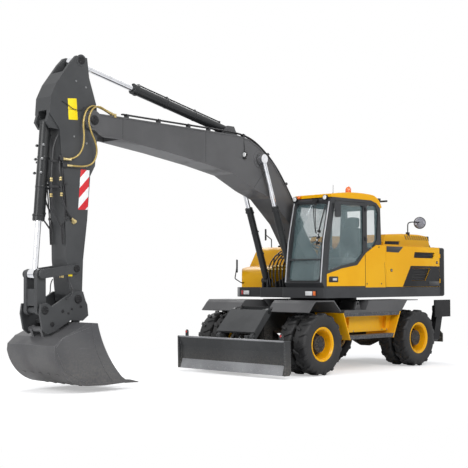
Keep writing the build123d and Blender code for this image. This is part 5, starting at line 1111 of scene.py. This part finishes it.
# weld beads and wear strips on the bucket's outside
WEAR_STRIP = [(6.262, 0.284), (6.060, 0.186), (5.847, 0.099), (5.847, 0.094), (6.064, 0.178), (6.270, 0.278)]
shape = Shape()
for y in (-0.40, -0.20, 0.0, 0.20, 0.40):
    shape.plate(WEAR_STRIP, y - 0.03, y + 0.03)
seams(shape, 0.5805, 0.0035, ((6.30, 0.80, 5.84, 0.93), (6.30, 0.80, 6.41, 0.67), (6.395, 0.60, 6.25, 0.33),
                              (6.25, 0.33, 5.85, 0.135), (5.85, 0.135, 5.49, 0.125)))
shape.piece("bucket_weld_seams", "bucket_paint", "bucket", "bucket_steel")

# anti-slip plates on the upper deck, with their rows of raised pips
PIP_STEP = 0.06
plates, pips = Shape(), Shape()
for x0, x1, y0, y1 in ((-0.70, -0.40, 0.96, 1.20), (-0.70, -0.06, -1.18, -0.98), (-2.10, -0.80, 0.96, 1.20),
                       (-2.10, -0.80, -1.20, -0.96)):
    plates.block(x0, x1, y0, y1, 2.2402, 2.2432)
    for i in range(int((x1 - x0) / PIP_STEP)):
        for j in range(int((y1 - y0) / PIP_STEP)):
            pips.stub(at(x0 + 0.03 + PIP_STEP * i, y0 + 0.03 + PIP_STEP * j, 2.2431), UP,
                      [(0, 0.010), (0.003, 0.009), (0.004, 0.005)], 10)
plates.piece("deck_tread_plates", "dark_paint", "upper")
pips.piece("deck_tread_pips", "black_plastic", "upper")

# ---- camera, light and floor --------------------------------------------------------------
scene = bpy.context.scene
scene.view_settings.view_transform = "Standard"
cam_data = bpy.data.cameras.new("camera")
cam_data.lens = 78.36
cam_data.sensor_width = 36.0
cam_data.clip_end = 300
camera = linked("camera", cam_data)
camera.location = (13.005, 12.161, 1.584)
YAW, PITCH = math.radians(-135.84), math.radians(2.673)
aim = Vector((math.cos(YAW) * math.cos(PITCH), math.sin(YAW) * math.cos(PITCH), math.sin(PITCH)))
camera.rotation_mode = "QUATERNION"
camera.rotation_quaternion = aim.to_track_quat("-Z", "Y")
scene.camera = camera


def lamp(name, place, target, size, power):
    data = bpy.data.lights.new(name, "AREA")
    data.shape = "DISK"
    data.size = size
    data.energy = power
    made = linked(name, data)
    made.location = place
    made.rotation_mode = "QUATERNION"
    made.rotation_quaternion = (Vector(target) - Vector(place)).to_track_quat("-Z", "Y")


lamp("key", (4.0, 14.0, 11.0), (-0.5, 0, 1.5), 9.0, 1500)
lamp("front", (15.0, 1.0, 7.0), (0, 0, 1.5), 8.0, 900)
lamp("back", (-8.0, -10.0, 12.0), (0, 0, 1.5), 10.0, 900)

FILL = 0.42             # strength of the world's light, and of the floor as the camera sees it
world = bpy.data.worlds.new("studio")
scene.world = world
world.use_nodes = True
tree = world.node_tree
tree.nodes.clear()
ray = tree.nodes.new("ShaderNodeLightPath")
plain = Sock(tree, ray.outputs["Is Camera Ray"]).maths("MAXIMUM", Sock(tree, ray.outputs["Is Transmission Ray"]))
seen = plain.maths("MAXIMUM", Sock(tree, ray.outputs["Is Glossy Ray"]))
soft = seen.node("ShaderNodeBackground", Color=(0.93, 0.95, 1.0, 1), Strength=FILL)
white = seen.node("ShaderNodeBackground", Color=(1, 1, 1, 1), Strength=1.0)
sky = seen.node("ShaderNodeMixShader", i0=seen, i1=soft, i2=white)
tree.links.new(sky.socket, tree.nodes.new("ShaderNodeOutputWorld").inputs["Surface"])

bpy.ops.mesh.primitive_plane_add(size=160)
floor = bpy.context.object
floor.name = "studio_floor"
pale = bpy.data.materials.new("floor_pale")
pale.use_nodes = True
tree = pale.node_tree
tree.nodes.clear()
ray = Sock(tree, tree.nodes.new("ShaderNodeLightPath").outputs["Is Camera Ray"])
place = Sock(tree, tree.nodes.new("ShaderNodeTexCoord").outputs["Object"])
out_x = (place.axis("X") - 0.2) / 7.5
out_y = place.axis("Y") / 5.0
far = (out_x * out_x + out_y * out_y).maths("SQRT").smooth(0.6, 1.25)
matt = place.node("ShaderNodeBsdfDiffuse", Color=(0.92, 0.92, 0.92, 1))
glow = place.node("ShaderNodeEmission", Color=(1, 1, 1, 1), Strength=ray * FILL)
near = place.node("ShaderNodeAddShader", i0=matt, i1=glow)
open_white = place.node("ShaderNodeEmission", Color=(1, 1, 1, 1), Strength=1.0)
ground = place.node("ShaderNodeMixShader", i0=far * ray, i1=near, i2=open_white)
tree.links.new(ground.socket, tree.nodes.new("ShaderNodeOutputMaterial").inputs["Surface"])
floor.data.materials.append(pale)
